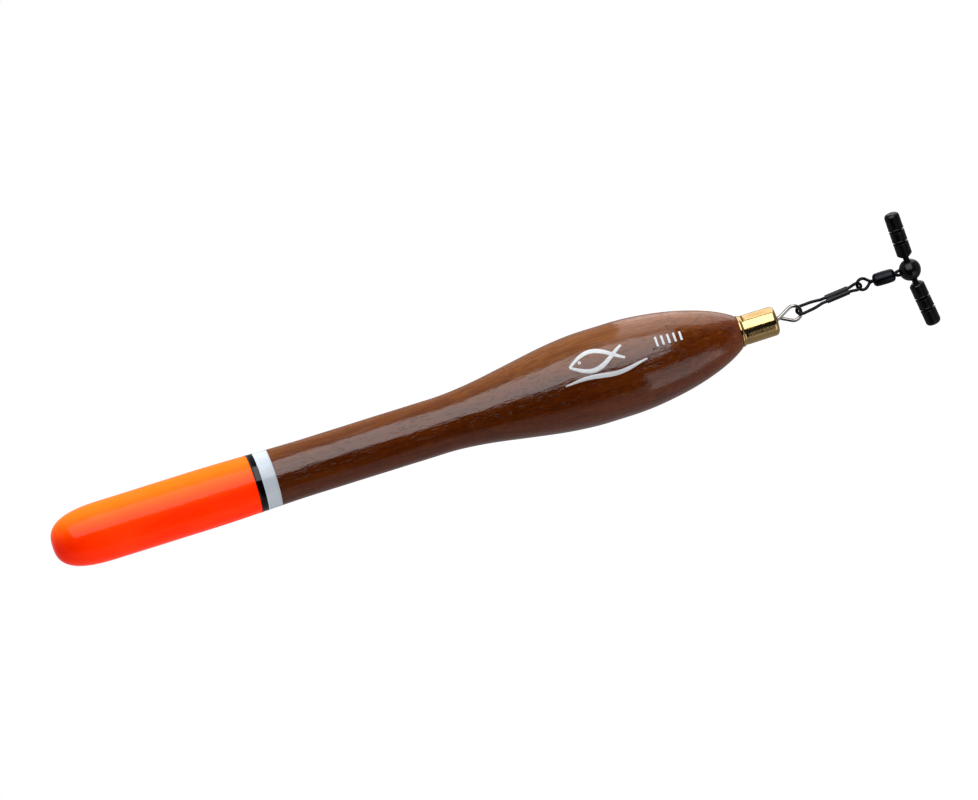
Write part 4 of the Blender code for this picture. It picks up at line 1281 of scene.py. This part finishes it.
def stop_profile():
    """Mouth, taper and ribs, less a groove with steep walls between ribs, plus a bell-shaped lip."""
    end = STOP_START + sum(RIBS) + 2 * GROOVE_WIDTH
    z = np.linspace(STOP_START, end - DOME_ROUNDING, 420)
    opening = smooth_step(0, STOP_TAPER, z - STOP_START) ** MOUTH_POWER
    radius = STOP_MOUTH + (STOP_RADIUS - STOP_MOUTH) * opening
    edge = STOP_START
    for rib in RIBS[:-1]:
        near, far = edge + rib - GROOVE_SPREAD, edge + rib + GROOVE_WIDTH + GROOVE_SPREAD
        dip = smooth_step(near, near + GROOVE_WALL, z) - smooth_step(far - GROOVE_WALL, far, z)
        lips = np.exp(-((z - near) / LIP_REACH) ** 2) + np.exp(-((z - far) / LIP_REACH) ** 2)
        radius = radius - GROOVE_DEPTH * dip + LIP_HEIGHT * lips * (1 - dip)
        edge += rib + GROOVE_WIDTH
    return np.vstack([
        np.column_stack([radius, z]),
        corner_arc(STOP_RADIUS - DOME_ROUNDING, end - DOME_ROUNDING, DOME_ROUNDING, 0, 90, 20)[1:],
        straight((LINE_HOLE, end), (LINE_HOLE, SOCKET_END), 6),
        straight((SOCKET_RADIUS, SOCKET_END), (SOCKET_RADIUS, STOP_START), 8),
    ])


for name in ("upper_stop", "lower_stop"):
    along = joint_axis(name + "_slide")
    stop_axes = (adaptor_axes[0], np.cross(adaptor_y, along), adaptor_y, along)
    rings = turned_rings(stop_profile(), SMALL_AROUND, stop_axes)
    stop = ring_piece("rubber_" + name, rings, ring_shaped=True)
    finish_piece(stop, rubber_finish, name, "black_rubber", name)

# %% [markdown]
# ## The print
# The belly carries a small white mark: a plain fish over a long wave, and five short bars for the five
# grams that the float carries. Screen ink stands up a few hundredths of a millimetre, so each stroke is
# a thin closed ribbon that follows the belly. A stroke is drawn flat first, with one coordinate along
# the float and one round it, and is then wrapped onto the outline.

# %% Print the mark
INK_SINK = 0.05 * MM
INK_HEIGHT = 0.03 * MM
STROKE = 0.25 * MM
MARK_MIDDLE = -54.9 * MM
MARK_TURN_DEG = -70.0
BARS_MIDDLE = -65.6 * MM
BAR_PITCH = 0.95 * MM
BAR_LENGTH = 1.7 * MM
BAR_HALF_WIDTH = 0.17 * MM
FISH_LENGTH = 8.4 * MM
FISH_HUMP = 1.55 * MM
FISH_TAIL = 1.24
WAVE_LENGTH = 13.0 * MM
WAVE_OFFSET = -2.6 * MM
WAVE_HEIGHT = 0.42 * MM
EYE_DOT = 0.16 * MM


def wrapped(along, round_, lift):
    """Flat places onto the float: angle = distance round over radius, height = distance along."""
    radius = outline_radius(along)
    turn = math.radians(MARK_TURN_DEG) + round_ / BELLY_RADIUS
    return np.stack([
        (radius + lift) * np.cos(turn), (radius + lift) * np.sin(turn), along
    ], axis=-1)


def stroke_rings(points, width):
    """A ribbon of the given half widths along a flat line: four corners, two sunk and two raised."""
    forward = np.gradient(points, axis=0)
    forward /= np.linalg.norm(forward, axis=1, keepdims=True)
    side_step = np.column_stack([-forward[:, 1], forward[:, 0]]) * np.asarray(width)[:, None]
    left, right = points + side_step, points - side_step
    inner_left, inner_right = points + 0.8 * side_step, points - 0.8 * side_step
    corners = [
        wrapped(left[:, 0], left[:, 1], -INK_SINK),
        wrapped(left[:, 0], left[:, 1], INK_HEIGHT / 2),
        wrapped(inner_left[:, 0], inner_left[:, 1], INK_HEIGHT),
        wrapped(inner_right[:, 0], inner_right[:, 1], INK_HEIGHT),
        wrapped(right[:, 0], right[:, 1], INK_HEIGHT / 2),
        wrapped(right[:, 0], right[:, 1], -INK_SINK),
    ]
    return np.stack(corners, axis=1)


def fish_strokes():
    """Body: two sine humps that cross before the tail. Wave: a sine whose height grows along it."""
    share = np.linspace(0, 1, 90)
    hump = np.sin(math.pi * FISH_TAIL * share) * FISH_HUMP
    along = MARK_MIDDLE + 4.9 * MM - share * FISH_LENGTH
    thick = STROKE * (0.75 + 0.7 * np.sin(math.pi * share))
    wave_share = np.linspace(0, 1, 120)
    wave = np.column_stack([
        MARK_MIDDLE + 6.3 * MM - wave_share * WAVE_LENGTH,
        WAVE_OFFSET + WAVE_HEIGHT * np.sin(2.4 * math.pi * wave_share) * (0.4 + 0.6 * wave_share),
    ])
    eye_turn = np.linspace(0.06, 2 * math.pi - 0.06, 24)
    eye = np.column_stack([
        MARK_MIDDLE + 3.3 * MM + EYE_DOT * np.cos(eye_turn), 0.28 * MM + EYE_DOT * np.sin(eye_turn)
    ])
    return [
        ("back", np.column_stack([along, hump]), thick),
        ("belly", np.column_stack([along, -hump]), thick),
        ("wave", wave, STROKE * (0.35 + 1.1 * np.sin(math.pi * wave_share) ** 0.8)),
        ("eye", eye, np.full(24, 0.1 * MM)),
    ]


def bar_strokes():
    """Five short bars round the float, evenly spaced along it."""
    line = np.linspace(-0.5, 0.5, 12) * BAR_LENGTH
    return [
        (f"bar_{k + 1}", np.column_stack([BARS_MIDDLE + (2 - k) * BAR_PITCH + 0 * line, line]),
         np.full(12, BAR_HALF_WIDTH))
        for k in range(5)
    ]


for name, points, width in fish_strokes() + bar_strokes():
    stroke = ring_piece("print_" + name, hand_turned(stroke_rings(points, width)))
    finish_piece(stroke, mark_finish, "root", "white_paint")
